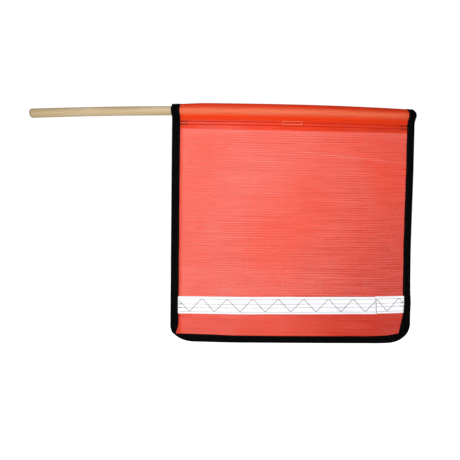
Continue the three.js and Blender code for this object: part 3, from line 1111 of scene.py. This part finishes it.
@dataclass
class EdgeBinding:
    """Black tape folded over the flag's edges and sewn down."""

    form: FlagForm
    outline: Outline
    thickness: float = 0.5 * MM
    stand_off: float = 0.1 * MM
    sleeve_start: float = -12 * MM  # the path where the rows get close, below the swing line
    wander: float = 0.45 * MM  # how far its inner edge strays
    loop_step: float = 1.4 * MM  # between two sections round the loop
    hem_step: float = 2 * MM  # between two sections where the seam holds the cloth
    straight_step: float = 7 * MM  # between two sections where the tape is straight
    corner_step: float = 1.6 * MM  # between two sections near the pinched corner
    corner_reach: float = 40 * MM  # how far along the bottom that corner shapes the tape

    @property
    def lift(self) -> float:
        """From the cloth's middle to the middle of the tape's layer."""
        return self.form.ply / 2 + self.stand_off + self.thickness / 2

    def fold(self, outer: Sequence[float], inner: Sequence[float], rear: Point) -> list[Vector]:
        """The tape's section: one layer in front, the fold over the edge, one layer behind.

        Args:
            outer: The flag's edge, as its place along the staff and its path.
            inner: The tape's inner edge, the same way.
            rear: The point of the layer behind.

        Returns:
            The section's points, from the front layer's inner edge to the rear one's.
        """
        start, width = Vector(outer), (Vector(inner) - Vector(outer)).length
        run = (Vector(inner) - start).normalized() if width > 1e-6 else Vector((1, 0))
        bend = min(self.lift + self.thickness / 2, width * 0.6)
        flat = [width, width * 0.75, width * 0.5, width * 0.25 + bend * 0.75]
        section = [(distance, 0.0) for distance in flat if distance > bend * 1.05]
        section = [(width, 0.0)] * (4 - len(section)) + section
        for turn in steps(0.0, math.pi, math.pi / 6):
            share = (1 - math.cos(turn)) / 2
            section.append((bend - (bend - self.thickness / 2) * math.sin(turn), share))
        section += [(distance, 1.0) for distance, _ in reversed(section[:4])]
        points = []
        for distance, share in section:
            along, path = start + run * distance
            points.append(self.form.place(along, path, self.lift).lerp(rear(along, path), share))
        return points

    def strip(
        self,
        bench: Workbench,
        name: str,
        sections: Iterator[list[Vector]],
        body: Body | None,
        *nodes: str,
    ) -> bpy.types.Object:
        """Join sections into a finished tape.

        Args:
            bench: Where pieces are made.
            name: The tape's name.
            sections: The tape's sections, in order along it.
            body: The body that it rides on, or None for a tape that spans the sleeve and the panel,
                which is then left on no body.
            nodes: The frame's nodes that it replaces.

        Returns:
            The tape.
        """
        rows = list(sections)
        run, width = [0.0], [0.0]
        for before, after in zip(rows, rows[1:]):
            run.append(run[-1] + (after[0] - before[0]).length)
        broad = max(rows, key=lambda row: (row[0] - row[6]).length)
        for before, after in zip(broad, broad[1:]):
            width.append(width[-1] + (after - before).length)
        piece = bench.sheet(
            name,
            range(len(broad)),
            range(len(rows)),
            lambda column, row: rows[row][column],
            self.thickness,
            lambda column, row: (run[row], width[column]),
        )
        return bench.finish(piece, self.tape, Slot.BINDING, body, *nodes)

    @cached_property
    def tape(self) -> bpy.types.Material:
        """The tape's material, made once."""
        return WovenTape("binding_tape", srgb(3, 3, 4), srgb(11, 10, 11)).material()

    def panel_rear(self, along: float, path: float) -> Vector:
        """The layer behind a single layer of cloth."""
        return self.form.place(along, path, -self.lift)

    def sleeve_rear(self, along: float, path: float) -> Vector:
        """The layer behind the sleeve, which is sewn shut at its far end.

        Args:
            along: The place along the staff.
            path: The distance up the cloth from the swing line.

        Returns:
            The point.
        """
        single = self.panel_rear(along, path)
        if path <= 0:
            return single
        doubled = self.form.place(along, self.form.behind(path), self.lift)
        lap = self.form.flap_edge - self.form.swing
        return single.lerp(doubled, smooth((path - lap + 2 * MM) / (4 * MM)))

    def wobble(self, path: float, seed: float) -> float:
        """How much wider the tape is there than it should be."""
        return self.wander * unevenness(path * 22, 0.0, seed)

    def near_sections(self) -> Iterator[list[Vector]]:
        """Sections of the near tape, from the flap's raw edge over the loop to the corner.

        Yields:
            Each section in turn.
        """
        form, outline, join = self.form, self.outline, self.sleeve_start
        corner = outline.path(outline.near_curl_height)
        paths = steps(form.raw_edge - 0.4 * MM, form.hem, self.loop_step)
        paths += steps(form.hem, join, self.hem_step)[1:]
        paths += steps(join, corner, self.straight_step)[1:]
        paths += steps(corner, outline.path(outline.pinch), self.corner_step)[1:]
        for path in paths:
            rise = outline.rise(path)
            inner = outline.near_inner(rise) + self.wobble(path, 1.7)
            yield self.fold((outline.near_edge(rise), path), (inner, path), self.panel_rear)

    def bottom_sections(self) -> Iterator[list[Vector]]:
        """Sections of the bottom tape, from the pinched corner to half way round the far one.

        Yields:
            Each section in turn.
        """
        outline = self.outline
        first = outline.near_edge(outline.pinch)
        bend = self.form.end - outline.far_round[0]
        straight = first + self.corner_reach
        stations = steps(first, straight, self.corner_step)
        stations += steps(straight, bend, self.straight_step)[1:]
        for along in stations:
            outer = (along, outline.path(outline.bottom_edge(along)))
            width = outline.bottom_inner(along) + self.wobble(along, 5.2)
            yield self.fold(outer, (along, outline.path(width)), self.panel_rear)
        yield from self.corner_sections(0.0, math.pi / 4, 1)

    def corner_sections(self, first: float, last: float, skip: int) -> Iterator[list[Vector]]:
        """Sections of the tape round the far corner, between two turns.

        Args:
            first: The first turn.
            last: The last turn.
            skip: How many sections to leave out at the start.

        Yields:
            Each section in turn.
        """
        for turn in steps(first, last, math.pi / 60)[skip:]:
            ends = [(edge.x, self.outline.path(edge.y)) for edge in self.outline.far_corner(turn)]
            yield self.fold(*ends, self.panel_rear)

    def far_sections(self) -> Iterator[list[Vector]]:
        """Sections of the far tape, from half way round the corner to the top of the loop.

        Yields:
            Each section in turn.
        """
        form, outline, join = self.form, self.outline, self.sleeve_start
        yield from self.corner_sections(math.pi / 4, math.pi / 2, 0)
        outer_start = outline.path(outline.far_round[1])
        inner_start = outline.path(outline.far_reach)
        for level in steps(0.0, 1.0, 1 / 46)[1:]:
            outer = (form.end, outer_start + (join - outer_start) * level)
            path = inner_start + (join - inner_start) * level
            width = outline.far_width + outline.far_fullness * (1 - level)
            width += self.wobble(path, 9.4) * smooth(level * 9)
            yield self.fold(outer, (form.end - width, path), self.sleeve_rear)
        paths = steps(join, form.hem, self.hem_step)[1:]
        paths += steps(form.hem, form.crest, self.loop_step)[1:]
        for path in paths:
            width = outline.far_width + self.wobble(path, 9.4)
            yield self.fold((form.end, path), (form.end - width, path), self.sleeve_rear)

    def build(self, bench: Workbench) -> list[bpy.types.Object]:
        """Fold the three tapes over the edges.

        Args:
            bench: Where pieces are made.

        Returns:
            The near, bottom and far tapes.
        """
        tapes = {
            "near": (self.near_sections(), None, "mouth_binding", "near_side_binding"),
            "lower": (self.bottom_sections(), Body.PANEL, "bottom_binding"),
            "far": (self.far_sections(), None, "end_binding", "far_side_binding"),
        }
        return [self.strip(bench, f"{name}_binding", *tape) for name, tape in tapes.items()]


# ---- Cloth ----
@dataclass
class Cloth:
    """The flag's one piece of mesh: panel, loop and turned-back flap."""

    form: FlagForm
    outline: Outline
    tuck: float = 0.9 * MM  # from the flag's edge in to the cloth's own edge
    cut_tuck: float = 1 * MM  # the same, as the cloth was cut
    margin: float = 0.09  # the share of the width with close columns at each side
    corner_reach: float = 40 * MM  # how far up from the bottom edge the corners shape the cloth
    bend: float = -14 * MM  # the path from which the cloth may bend
    corner_step: float = 2 * MM  # between two rows at the corners
    straight_step: float = 3.6 * MM  # between two rows where the cloth is straight
    bend_step: float = 1.3 * MM  # between two rows where it bends and goes round the staff

    @property
    def flat(self) -> tuple[float, float]:
        """The size the cloth was cut to: its width, and its height with the sleeve unrolled."""
        width = self.form.end - self.form.start - 2 * self.cut_tuck
        return width, self.form.raw_edge - self.outline.path(self.cut_tuck)

    def rows(self) -> list[float]:
        """The paths of the cloth's rows, close together where it bends.

        Returns:
            The paths, from the bottom edge up.
        """
        start, straight = self.outline.path(self.tuck), self.outline.path(self.corner_reach)
        rows = steps(start, straight, self.corner_step)
        rows += steps(rows[-1], self.bend, self.straight_step)[1:]
        return rows + steps(self.bend, self.form.raw_edge, self.bend_step)[1:]

    def columns(self) -> list[float]:
        """The shares of the cloth's columns, close together at its sides."""
        near, far = self.margin, 1 - self.margin
        return steps(0.0, near, 0.005) + steps(near, far, 0.0085)[1:] + steps(far, 1.0, 0.005)[1:]

    def reach(self, share: float, path: float) -> float:
        """The place along the staff of a share of the cloth's width, at a path.

        Args:
            share: The share of the cloth's width.
            path: The distance up the cloth from the swing line.

        Returns:
            The place.
        """
        rise = self.outline.rise(path)
        left = self.outline.near_edge(rise) + self.tuck
        return left + (self.outline.far_edge(rise) - self.tuck - left) * share

    def build(self, bench: Workbench) -> bpy.types.Object:
        """Lay the cloth.

        Args:
            bench: Where pieces are made.

        Returns:
            The cloth.
        """
        cloth = bench.sheet(
            "mesh_cloth",
            self.columns(),
            self.rows(),
            lambda share, path: self.form.place(self.reach(share, path), path),
            self.form.ply,
            lambda share, path: (self.reach(share, path), path),
        )
        material = MeshCloth(self.form).material()
        return bench.finish(cloth, material, Slot.MESH, None, "sleeve_cloth", "panel_cloth")


# ---- Stitches ----
@dataclass
class StitchRun:
    """A line that stitches follow over the flag."""

    place: Point  # the point at a distance along the line, and a lift
    first: float
    last: float


@dataclass
class Needle:
    """Sews rows of separate stitches."""

    length: float = 2.7 * MM
    gap: float = 0.9 * MM
    width: float = 0.7 * MM
    height: float = 0.4 * MM
    shake: float = 0.0  # how unevenly the stitches lie, in radians
    seed: int = 7

    def stitch(self) -> bpy.types.Mesh:
        """One stitch, a short pill of thread along X.

        Returns:
            Its mesh.
        """
        mesh = bmesh.new()
        bmesh.ops.create_cube(mesh, size=1.0)
        bmesh.ops.scale(mesh, vec=(1.0, self.width, self.height), verts=mesh.verts)
        bevel = {"offset": 0.36 * self.height, "segments": 1, "profile": 0.5}
        bmesh.ops.bevel(mesh, geom=mesh.edges[:], affect="EDGES", material=-1, **bevel)
        for face in mesh.faces:
            face.smooth = True
        pill = bpy.data.meshes.new("stitch")
        mesh.to_mesh(pill)
        mesh.free()
        return pill

    def matrix(self, run: StitchRun, middle: float, half: float, turn: float) -> Matrix:
        """Where one stitch lies.

        Args:
            run: The line that it belongs to.
            middle: Its middle, as a distance along the line.
            half: Half its length.
            turn: How far it is turned from the line.

        Returns:
            The matrix that stretches, turns and moves the pill.
        """
        tail, head = run.place(middle - half, 0.0), run.place(middle + half, 0.0)
        out = (run.place(middle, 1 * MM) - run.place(middle, 0.0)).normalized()
        forward = head - tail
        side = out.cross(forward).normalized()
        axes = Matrix((forward.normalized(), side, out)).transposed()
        axes @= Matrix.Rotation(turn, 3, "Z")
        placed = Matrix.Translation((tail + head) / 2) @ axes.to_4x4()
        return placed @ Matrix.Diagonal((forward.length, 1, 1, 1))

    def sew(
        self,
        bench: Workbench,
        name: str,
        runs: Sequence[StitchRun],
        thread: Thread,
        body: Body,
        *nodes: str,
    ) -> None:
        """Sew along one or more lines, as one finished piece.

        Args:
            bench: Where pieces are made.
            name: The name of the row.
            runs: The lines to follow.
            thread: The thread.
            body: The body that the stitches ride on.
            nodes: The frame's nodes that they replace.
        """
        pill = self.stitch()
        chance = random.Random(self.seed)
        mesh = bmesh.new()
        pitch = self.length + self.gap
        for run in runs:
            count = max(1, round(abs(run.last - run.first) / pitch))
            step = (run.last - run.first) / count
            half = step * 0.5 * self.length / pitch
            for index in range(count):
                turn = chance.uniform(-self.shake, self.shake)
                matrix = self.matrix(run, run.first + step * (index + 0.5), half, turn)
                pill.transform(matrix)
                mesh.from_mesh(pill)
                pill.transform(matrix.inverted())
        bpy.data.meshes.remove(pill)
        bench.finish(add_object(name, mesh), thread.material, thread.slot, body, *nodes)


@dataclass
class Sewing:
    """All the stitching that holds the sleeve and the edges."""

    form: FlagForm
    outline: Outline
    binding: EdgeBinding
    row_spacing: float = 5.7 * MM
    backtack: float = 14 * MM
    doubling: float = 0.35 * MM  # how far each pass of a backtack lies from its row
    inset: float = 2.5 * MM
    clearance: float = 7 * MM  # from the swing line to the panel's side rows
    sleeve_start: float = 4.5 * MM

    def level(self, path: float, lift: float, face: Face) -> Point:
        """A line along the sleeve at a path, on one face of its seam."""
        real = self.form.on_face(path, face)
        return lambda along, more: self.form.place(along, real, lift + more)

    def build_seam(self, bench: Workbench) -> None:
        """Sew the two rows below the staff, with a dark backtack at each end.

        Args:
            bench: Where pieces are made.
        """
        # The red thread is painted darker than the cloth: its own red, with the shade of the seam's
        # puckered grooves painted in
        red = Thread("red_thread", srgb(200, 26, 9), srgb(176, 16, 7), Slot.RED_THREAD)
        black = Thread("black_thread", srgb(84, 10, 6), srgb(50, 6, 5), Slot.BLACK_THREAD)
        needle = Needle(length=3.0 * MM, gap=0.4 * MM, width=1.5 * MM, height=0.45 * MM)
        tack_needle = Needle(length=3.4 * MM, gap=-1.6 * MM, width=1.0 * MM, shake=0.12, seed=3)
        near = self.form.start + self.outline.near_width - 0.4 * MM
        far = self.form.end - self.outline.far_width + 0.4 * MM
        inner_near, inner_far = near + self.backtack, far - self.backtack
        lift = self.form.ply / 2 + THREAD_LIFT
        for index, name in enumerate(("upper", "lower")):
            path = self.form.hem - SEAM_DROP - self.row_spacing * index
            runs = [StitchRun(self.level(path, lift, face), inner_near, inner_far) for face in Face]
            needle.sew(bench, f"seam_{name}", runs, red, Body.SLEEVE, f"seam_row_{name}")
            for end, span in (("near", (near, inner_near)), ("far", (inner_far, far))):
                passes = [
                    StitchRun(self.level(path + shift, lift + GAP, face), *span)
                    for shift in (-self.doubling, self.doubling)
                    for face in Face
                ]
                tack = f"backtack_{end}_{name}"
                tack_needle.sew(bench, tack, passes, black, Body.SLEEVE, f"seam_{tack}")

    def side(self, fold: Callable[[float], tuple], face: Face) -> Point:
        """The points at a distance and a lift, on one face of the tape along a fold."""
        out = self.binding.lift + self.binding.thickness / 2 + GAP
        return lambda distance, more: self.form.place(*fold(distance), (out + more) * face.value)

    def build_edges(self, bench: Workbench) -> None:
        """Sew the tape down along the two sides, round the loop and along the bottom.

        Args:
            bench: Where pieces are made.
        """
        form, outline = self.form, self.outline
        black = Thread("binding_thread", srgb(9, 9, 10), srgb(18, 17, 18), Slot.BLACK_THREAD)
        needle = Needle(length=2.4 * MM, gap=0.8 * MM, width=0.6 * MM, height=0.3 * MM)
        near = form.start + outline.near_width - self.inset
        far = form.end - outline.far_width + self.inset
        low = outline.path(outline.bottom_width - self.inset)
        low_start = outline.near_edge(outline.pinch) + 12 * MM
        low_end = form.end - outline.far_round[0] + 8 * MM
        side_end = -self.clearance
        sides = {
            "near_side": (lambda d: (near, d), outline.path(36 * MM), side_end),
            "far_side": (lambda d: (far, d), outline.path(54 * MM), side_end),
            "bottom": (lambda d: (d, low), low_start, low_end),
        }
        for name, (fold, first, last) in sides.items():
            runs = [StitchRun(self.side(fold, face), first, last) for face in Face]
            node = f"{name}_stitching"
            needle.sew(bench, f"{name}_stitches", runs, black, Body.PANEL, node)
        ends = ((near, form.raw_edge - 6.5 * MM), (far, form.crest - 3 * MM))
        runs = [
            StitchRun(self.side(lambda d, x=x: (x, d), Face.FRONT), self.sleeve_start, last)
            for x, last in ends
        ]
        needle.sew(bench, "sleeve_end_stitches", runs, black, Body.SLEEVE)


@dataclass
class Patch:
    """A small plain woven patch caught between the two layers of the seam."""

    form: FlagForm
    start: float = 208 * MM
    length: float = 38 * MM
    upper: float = 2.9 * MM  # from the seam's first row up to the patch's upper edge
    height: float = 6.7 * MM
    thickness: float = 0.3 * MM
    inset: float = 0.7 * MM  # from the patch's edge in to its stitches

    def build(self, bench: Workbench) -> bpy.types.Object:
        """Weave the patch, and sew it in with a pale rectangle of stitches.

        Args:
            bench: Where pieces are made.

        Returns:
            The patch.
        """
        form = self.form
        first = form.start + self.start
        top = form.hem - SEAM_DROP + self.upper
        lift = -(form.ply / 2 + self.thickness / 2 + 0.05 * MM)
        patch = bench.sheet(
            "woven_patch",
            steps(first, first + self.length, 1.5 * MM),
            steps(top - self.height, top, 1.2 * MM),
            lambda along, path: form.place(along, path, lift),
            self.thickness,
        )
        weave = WovenTape("patch_weave", srgb(245, 226, 214), srgb(232, 196, 180), 1400, 0.7)
        bench.finish(patch, weave.material(), Slot.PATCH, Body.SLEEVE, "patch")
        sides = (first + self.inset, first + self.length - self.inset)
        ends = (top - self.height + self.inset, top - self.inset)
        front = form.ply / 2 + 0.4 * MM
        runs = []
        for face in Face:
            paths = [form.on_face(path, face) for path in ends]
            runs += [
                StitchRun(lambda a, more, p=path: form.place(a, p, front + more), *sides)
                for path in paths
            ]
            runs += [
                StitchRun(lambda p, more, a=along: form.place(a, p, front + more), *paths)
                for along in sides
            ]
        pale = Thread("pale_thread", srgb(250, 158, 130), srgb(240, 138, 112), Slot.PALE_THREAD)
        needle = Needle(length=1.8 * MM, gap=0.5 * MM, width=0.9 * MM, height=0.3 * MM)
        needle.sew(bench, "patch_stitches", runs, pale, Body.SLEEVE, "patch_stitching")
        return patch


# ---- Trim ----
@dataclass
class Trim:
    """Reflective tape across the lower front, in two lengths, sewn down with zigzag and rows."""

    form: FlagForm
    outline: Outline
    binding: EdgeBinding
    width: float = 32.6 * MM
    height: float = 52.0 * MM  # from the bottom edge up to the tape
    slant: float = 4 * MM
    thickness: float = 0.35 * MM
    near_lap: float = 1.2 * MM  # how far the tape lies over the near binding
    far_lap: float = 0.9 * MM  # and over the far one
    short_length: float = 52.8 * MM
    short_step: float = 0.9 * MM  # how much higher the short length is sewn on
    splice_lift: float = 0.45 * MM  # how far the one length lifts the other
    upper_inset: float = 4.9 * MM
    lower_inset: float = 3.9 * MM
    twin_drop: float = 14.4 * MM  # from the upper edge to the first middle row
    twin_spacing: float = 6.4 * MM
    twin_climb: float = 1.2 * MM  # how much nearer the upper edge the middle rows are far along
    tack: float = 7 * MM
    half_pitch: float = 23.4 * MM
    short_half_pitch: float = 21.6 * MM
    first_valley: float = 21.9 * MM
    short_valley: float = 21.4 * MM
    turn_softness: float = 0.12
    creep: float = 6.8 * MM  # how far the zigzag's turns slip along before they run evenly
    creep_length: float = 235 * MM
    splice_slant: float = 0.05

    @property
    def near(self) -> float:
        """The tape's near end."""
        return self.form.start + self.outline.near_width - self.near_lap

    @property
    def far(self) -> float:
        """The tape's far end."""
        return self.form.end - self.outline.far_width + self.far_lap

    @property
    def splice(self) -> float:
        """Where the short length takes over."""
        return self.far - self.short_length

    @property
    def base(self) -> float:
        """The path at the tape's lower edge."""
        return self.outline.path(self.height)

    def onto_splice(self, along: float) -> float:
        """How far up on the splice a place is, from 0 to 1."""
        return smooth((along - self.splice + 9 * MM) / (6 * MM))

    def lift(self, along: float) -> float:
        """From the cloth's middle to the tape's back, over the near binding and on the lap.

        Args:
            along: The place along the staff.

        Returns:
            The distance.
        """
        over = self.binding.lift + self.binding.thickness / 2 + 0.05 * MM
        flat = self.form.ply / 2 + GAP
        off_splice = 1 - smooth((along - self.splice - 4 * MM) / (7 * MM))
        lap = self.splice_lift * self.onto_splice(along) * off_splice
        inner = self.form.start + self.outline.near_width
        outer = self.form.end - self.outline.far_width
        beside = max(inner - along, along - outer)
        return flat + (over - flat) * smooth((beside + 3.4 * MM) / (3 * MM)) + lap

    def sheet(
        self, bench: Workbench, name: str, first: float, last: float, above: bool
    ) -> bpy.types.Object:
        """Cut one length of tape.

        Args:
            bench: Where pieces are made.
            name: Which length it is.
            first: Its near end.
            last: Its far end.
            above: Whether it lies on the other length at the splice.

        Returns:
            The length of tape.
        """

        def at(share: float, up: float) -> Vector:
            """The point at a share of the length and a height up the tape.

            Args:
                share: The share of the length.
                up: The share of the width.

            Returns:
                The point.
            """
            ragged = 0.35 * MM * unevenness(up * 900, 0, first)
            frayed = 0.35 * MM * unevenness(up * 800, 3, last)
            along = first + ragged + (last + frayed - first - ragged) * share
            under = 0.0 if above else self.splice_lift * self.onto_splice(along)
            wave = 0.3 * MM * unevenness(along * 30, 0, 6.6)
            path = self.base + up * self.width + wave + (self.short_step if above else 0.0)
            lift = self.lift(along) - under + self.thickness / 2
            return self.form.place(along, path, lift, self.slant)

        piece = bench.sheet(
            f"reflective_{name}",
            steps(0.0, 1.0, 2.4 * MM / (last - first)),
            steps(0.0, 1.0, 0.05),
            at,
            self.thickness,
            lambda share, up: (first + (last - first) * share, up * self.width),
        )
        return bench.finish(piece, self.white, Slot.TRIM, Body.PANEL, f"trim_{name}")

    @cached_property
    def white(self) -> bpy.types.Material:
        """The tape's material, made once."""
        return Reflector().material()

    def on_tape(self, along: float, down: float, more: float) -> Vector:
        """The point on the tape's face at a distance below its upper edge.

        Args:
            along: The place along the staff.
            down: The distance below the upper edge.
            more: How far it stands off the tape's face.

        Returns:
            The point.
        """
        lift = self.lift(along) + self.thickness + THREAD_LIFT + more
        step = self.short_step * smooth((along - self.splice) / (3 * MM))
        return self.form.place(along, self.base + self.width - down + step, lift, self.slant)

    def row(self, drop: Callable[[float], float], first: float, last: float) -> StitchRun:
        """A row along the tape at a depth below its upper edge."""
        return StitchRun(lambda a, more: self.on_tape(a, drop(a), more), first, last)

    def twin(self, index: int) -> Callable[[float], float]:
        """The depth of one of the two middle rows, at a place along the tape."""
        start, depth = self.near + 170 * MM, self.twin_drop + self.twin_spacing * index
        return lambda along: depth - self.twin_climb * smooth((along - start) / (120 * MM))

    def zigzag(
        self, first: float, last: float, valley: float, half_pitch: float, creep: float
    ) -> StitchRun:
        """A zigzag between the edge rows, with its turns rounded.

        Args:
            first: The near end of the line.
            last: Its far end.
            valley: A place where the line touches the lower row.
            half_pitch: From a valley to the next peak.
            creep: How far its turns slip along.

        Returns:
            The line to sew.
        """
        upper = self.upper_inset - 0.8 * MM
        deep = self.width - self.lower_inset - 0.5 * MM

        def drop(along: float) -> float:
            """The depth at a place along the tape.

            Args:
                along: The place along the staff.

            Returns:
                The depth below the tape's upper edge.
            """
            slipped = min(max((along - valley) / self.creep_length, 0.0), 1.0) * creep
            fall = abs(1 - abs((along - slipped - valley) / half_pitch) % 2) - 0.5
            eased = 0.5 + 0.5 * math.sin(math.pi * fall) * self.turn_softness
            return upper + (deep - upper) * (eased + fall * (1 - self.turn_softness))

        return self.row(drop, first, last)

    def build(self, bench: Workbench) -> list[bpy.types.Object]:
        """Cut and sew the trim.

        Args:
            bench: Where pieces are made.

        Returns:
            The long and the short length of tape.
        """
        near, splice, far = self.near, self.splice, self.far
        lengths = [
            self.sheet(bench, "long", near, splice + 3 * MM, False),
            self.sheet(bench, "short", splice - 1.5 * MM, far, True),
        ]
        grey = Thread("grey_thread", srgb(112, 108, 116), srgb(92, 89, 98), Slot.GREY_THREAD)
        self.build_rows(bench, grey)
        needle = Needle(length=2.6 * MM, gap=0.1 * MM, width=1.0 * MM, height=0.4 * MM)
        valleys = (near + self.first_valley, splice + self.short_valley)
        lines = {
            "long": self.zigzag(near + 1 * MM, splice, valleys[0], self.half_pitch, self.creep),
            "short": self.zigzag(splice, far - 1 * MM, valleys[1], self.short_half_pitch, 0.0),
        }
        for name, line in lines.items():
            zigzag = f"zigzag_{name}"
            needle.sew(bench, f"{zigzag}_stitches", [line], grey, Body.PANEL, zigzag)
        slanted = StitchRun(
            lambda down, more: self.on_tape(
                splice + self.splice_slant * down - 0.6 * MM, down, more + GAP
            ),
            0.8 * MM,
            self.width - 0.8 * MM,
        )
        needle.sew(bench, "splice_stitches", [slanted], grey, Body.PANEL, "splice_stitching")
        return lengths

    def build_rows(self, bench: Workbench, grey: Thread) -> None:
        """Sew the edge rows and the two middle rows, with their dark backtacks.

        Args:
            bench: Where pieces are made.
            grey: The thread of the middle rows.
        """
        near, far, tack = self.near, self.far, self.tack
        pale = Thread("trim_thread", srgb(158, 150, 164), srgb(138, 131, 146), Slot.PALE_THREAD)
        dark = Thread("tack_thread", srgb(30, 29, 32), srgb(62, 59, 62), Slot.BLACK_THREAD)
        edge_needle = Needle(length=2.6 * MM, gap=0.7 * MM, width=0.8 * MM, height=0.3 * MM)
        twin_needle = Needle(length=2.4 * MM, gap=1.5 * MM, width=0.8 * MM, height=0.3 * MM)
        tack_needle = Needle(length=2.8 * MM, gap=-1.2 * MM, width=1.1 * MM, shake=0.15, seed=5)
        edges = {"upper": self.upper_inset, "lower": self.width - self.lower_inset}
        for name, depth in edges.items():
            run = self.row(lambda _, d=depth: d, near + 2 * MM, far - 0.4 * MM)
            row = f"edge_row_{name}"
            edge_needle.sew(bench, row, [run], pale, Body.PANEL, f"trim_{row}")
        ends = {"near": (near + 1 * MM, near + tack), "far": (far - tack, far - 0.5 * MM)}
        for index, name in enumerate(("upper", "lower")):
            drop = self.twin(index)
            row = f"middle_row_{name}"
            run = self.row(drop, near + tack, far - tack)
            twin_needle.sew(bench, row, [run], grey, Body.PANEL, f"trim_{row}")
            for end, span in ends.items():
                run = self.row(drop, *span)
                node = f"trim_backtack_{end}_{name}"
                tack_needle.sew(bench, f"trim_tack_{end}_{name}", [run], dark, Body.PANEL, node)


# ---- Studio ----
@dataclass
class Studio:
    """A plain white floor, soft lights and the camera."""

    target: Vector
    distance: float = 3.0
    field_width: float = 0.865
    sensor: float = 36.0
    roll: float = math.radians(1.2)
    floor_height: float = -0.62
    floor_reach: float = 14.0
    floor_glow: tuple[float, float] = (0.15, 1.0)  # as light, and as the camera sees it
    world_glow: tuple[float, float] = (0.24, 1.05)

    def build_camera(self) -> None:
        """Look at the flag's front square on, with a slight roll."""
        data = bpy.data.cameras.new("camera")
        data.sensor_width = self.sensor
        data.lens = self.sensor * self.distance / self.field_width
        camera = add_object("camera", data)
        right = Vector((math.cos(self.roll), 0, math.sin(self.roll)))
        up = Vector((-math.sin(self.roll), 0, math.cos(self.roll)))
        back = Vector((0, -1, 0))
        axes = Matrix((right, up, back)).transposed().to_4x4()
        camera.matrix_world = Matrix.Translation(self.target + back * self.distance) @ axes
        bpy.context.scene.camera = camera

    def add_light(self, name: str, offset: Sequence[float], size: float, power: float) -> None:
        """Hang one soft square light that faces the flag, at an offset from it.

        Args:
            name: The light's name.
            offset: Where it hangs, from the flag.
            size: The length of its sides.
            power: Its power in watts.
        """
        data = bpy.data.lights.new(name, "AREA")
        data.shape = "SQUARE"
        data.size = size
        data.energy = power
        light = add_object(name, data)
        light.location = self.target + Vector(offset)
        light.rotation_euler = (-Vector(offset)).to_track_quat("-Z", "Y").to_euler()

    def build_floor(self) -> None:
        """Lay the white floor, which glows for the camera."""
        mesh = bmesh.new()
        bmesh.ops.create_grid(mesh, x_segments=2, y_segments=2, size=self.floor_reach)
        bmesh.ops.translate(mesh, vec=(self.target.x, 0, self.floor_height), verts=mesh.verts)
        floor = add_object("floor", mesh)
        shader = Shader("floor_white")
        diffuse = shader.node("BsdfDiffuse", {"Color": (0.9, 0.9, 0.9, 1)}).outputs[0]
        strength = shader.span(shader.node("LightPath").outputs["Is Camera Ray"], *self.floor_glow)
        glow = shader.node("Emission", {"Color": (1, 1, 1, 1), "Strength": strength}).outputs[0]
        both = shader.node("AddShader", {0: diffuse, 1: glow}).outputs[0]
        floor.data.materials.append(shader.finish(both))
        floor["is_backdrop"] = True

    def build_world(self) -> None:
        """A white surround that looks bright and lights the flag gently."""
        world = bpy.data.worlds.new("surround")
        world.use_nodes = True
        tree = world.node_tree
        background = tree.nodes["Background"]
        path = tree.nodes.new("ShaderNodeLightPath")
        strength = tree.nodes.new("ShaderNodeMapRange")
        for socket, value in zip(("To Min", "To Max"), self.world_glow):
            strength.inputs[socket].default_value = value
        tree.links.new(path.outputs["Is Camera Ray"], strength.inputs["Value"])
        tree.links.new(strength.outputs["Result"], background.inputs["Strength"])
        background.inputs["Color"].default_value = (1, 1, 1, 1)
        bpy.context.scene.world = world

    def build(self) -> None:
        """Set up the whole studio."""
        self.build_camera()
        self.build_floor()
        self.build_world()
        self.add_light("key", (-0.6, -2.5, 0.55), 1.2, 49.5)
        self.add_light("fill", (1.0, -2.6, 0.0), 1.8, 12.0)
        self.add_light("rear", (0.3, 2.6, 0.1), 2.0, 34.0)
        bpy.context.scene.view_settings.view_transform = "Standard"


# ---- Assembly ----
def write_sizes() -> None:
    """Work out the frame's box and the visual model's box."""
    boxes = {"cad": cad_box, "visual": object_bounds()}
    sizes = {name: [list(corner) for corner in box] for name, box in boxes.items()}


def main() -> None:
    """Build the flag, piece by piece."""
    logging.basicConfig(level=logging.INFO, format="%(name)s: %(message)s")
    form = FlagForm.from_frame()
    outline = Outline(form)
    binding = EdgeBinding(form, outline)
    bench = Workbench(form)
    middle = Vector(((cad_box[0].x + cad_box[1].x) / 2 + 19.4 * MM, 0, -211.5 * MM))
    Studio(target=middle).build()
    Staff().build(bench)
    pattern = Cloth(form, outline)
    cloth = pattern.build(bench)
    tapes = binding.build(bench)
    sewing = Sewing(form, outline, binding)
    sewing.build_seam(bench)
    sewing.build_edges(bench)
    patch = Patch(form).build(bench)
    trim = Trim(form, outline, binding).build(bench)
    pattern.flat
    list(tapes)
    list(trim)
    log.info("%d pieces made", len(bench.made))
    write_sizes()


if __name__ == "__main__":
    main()
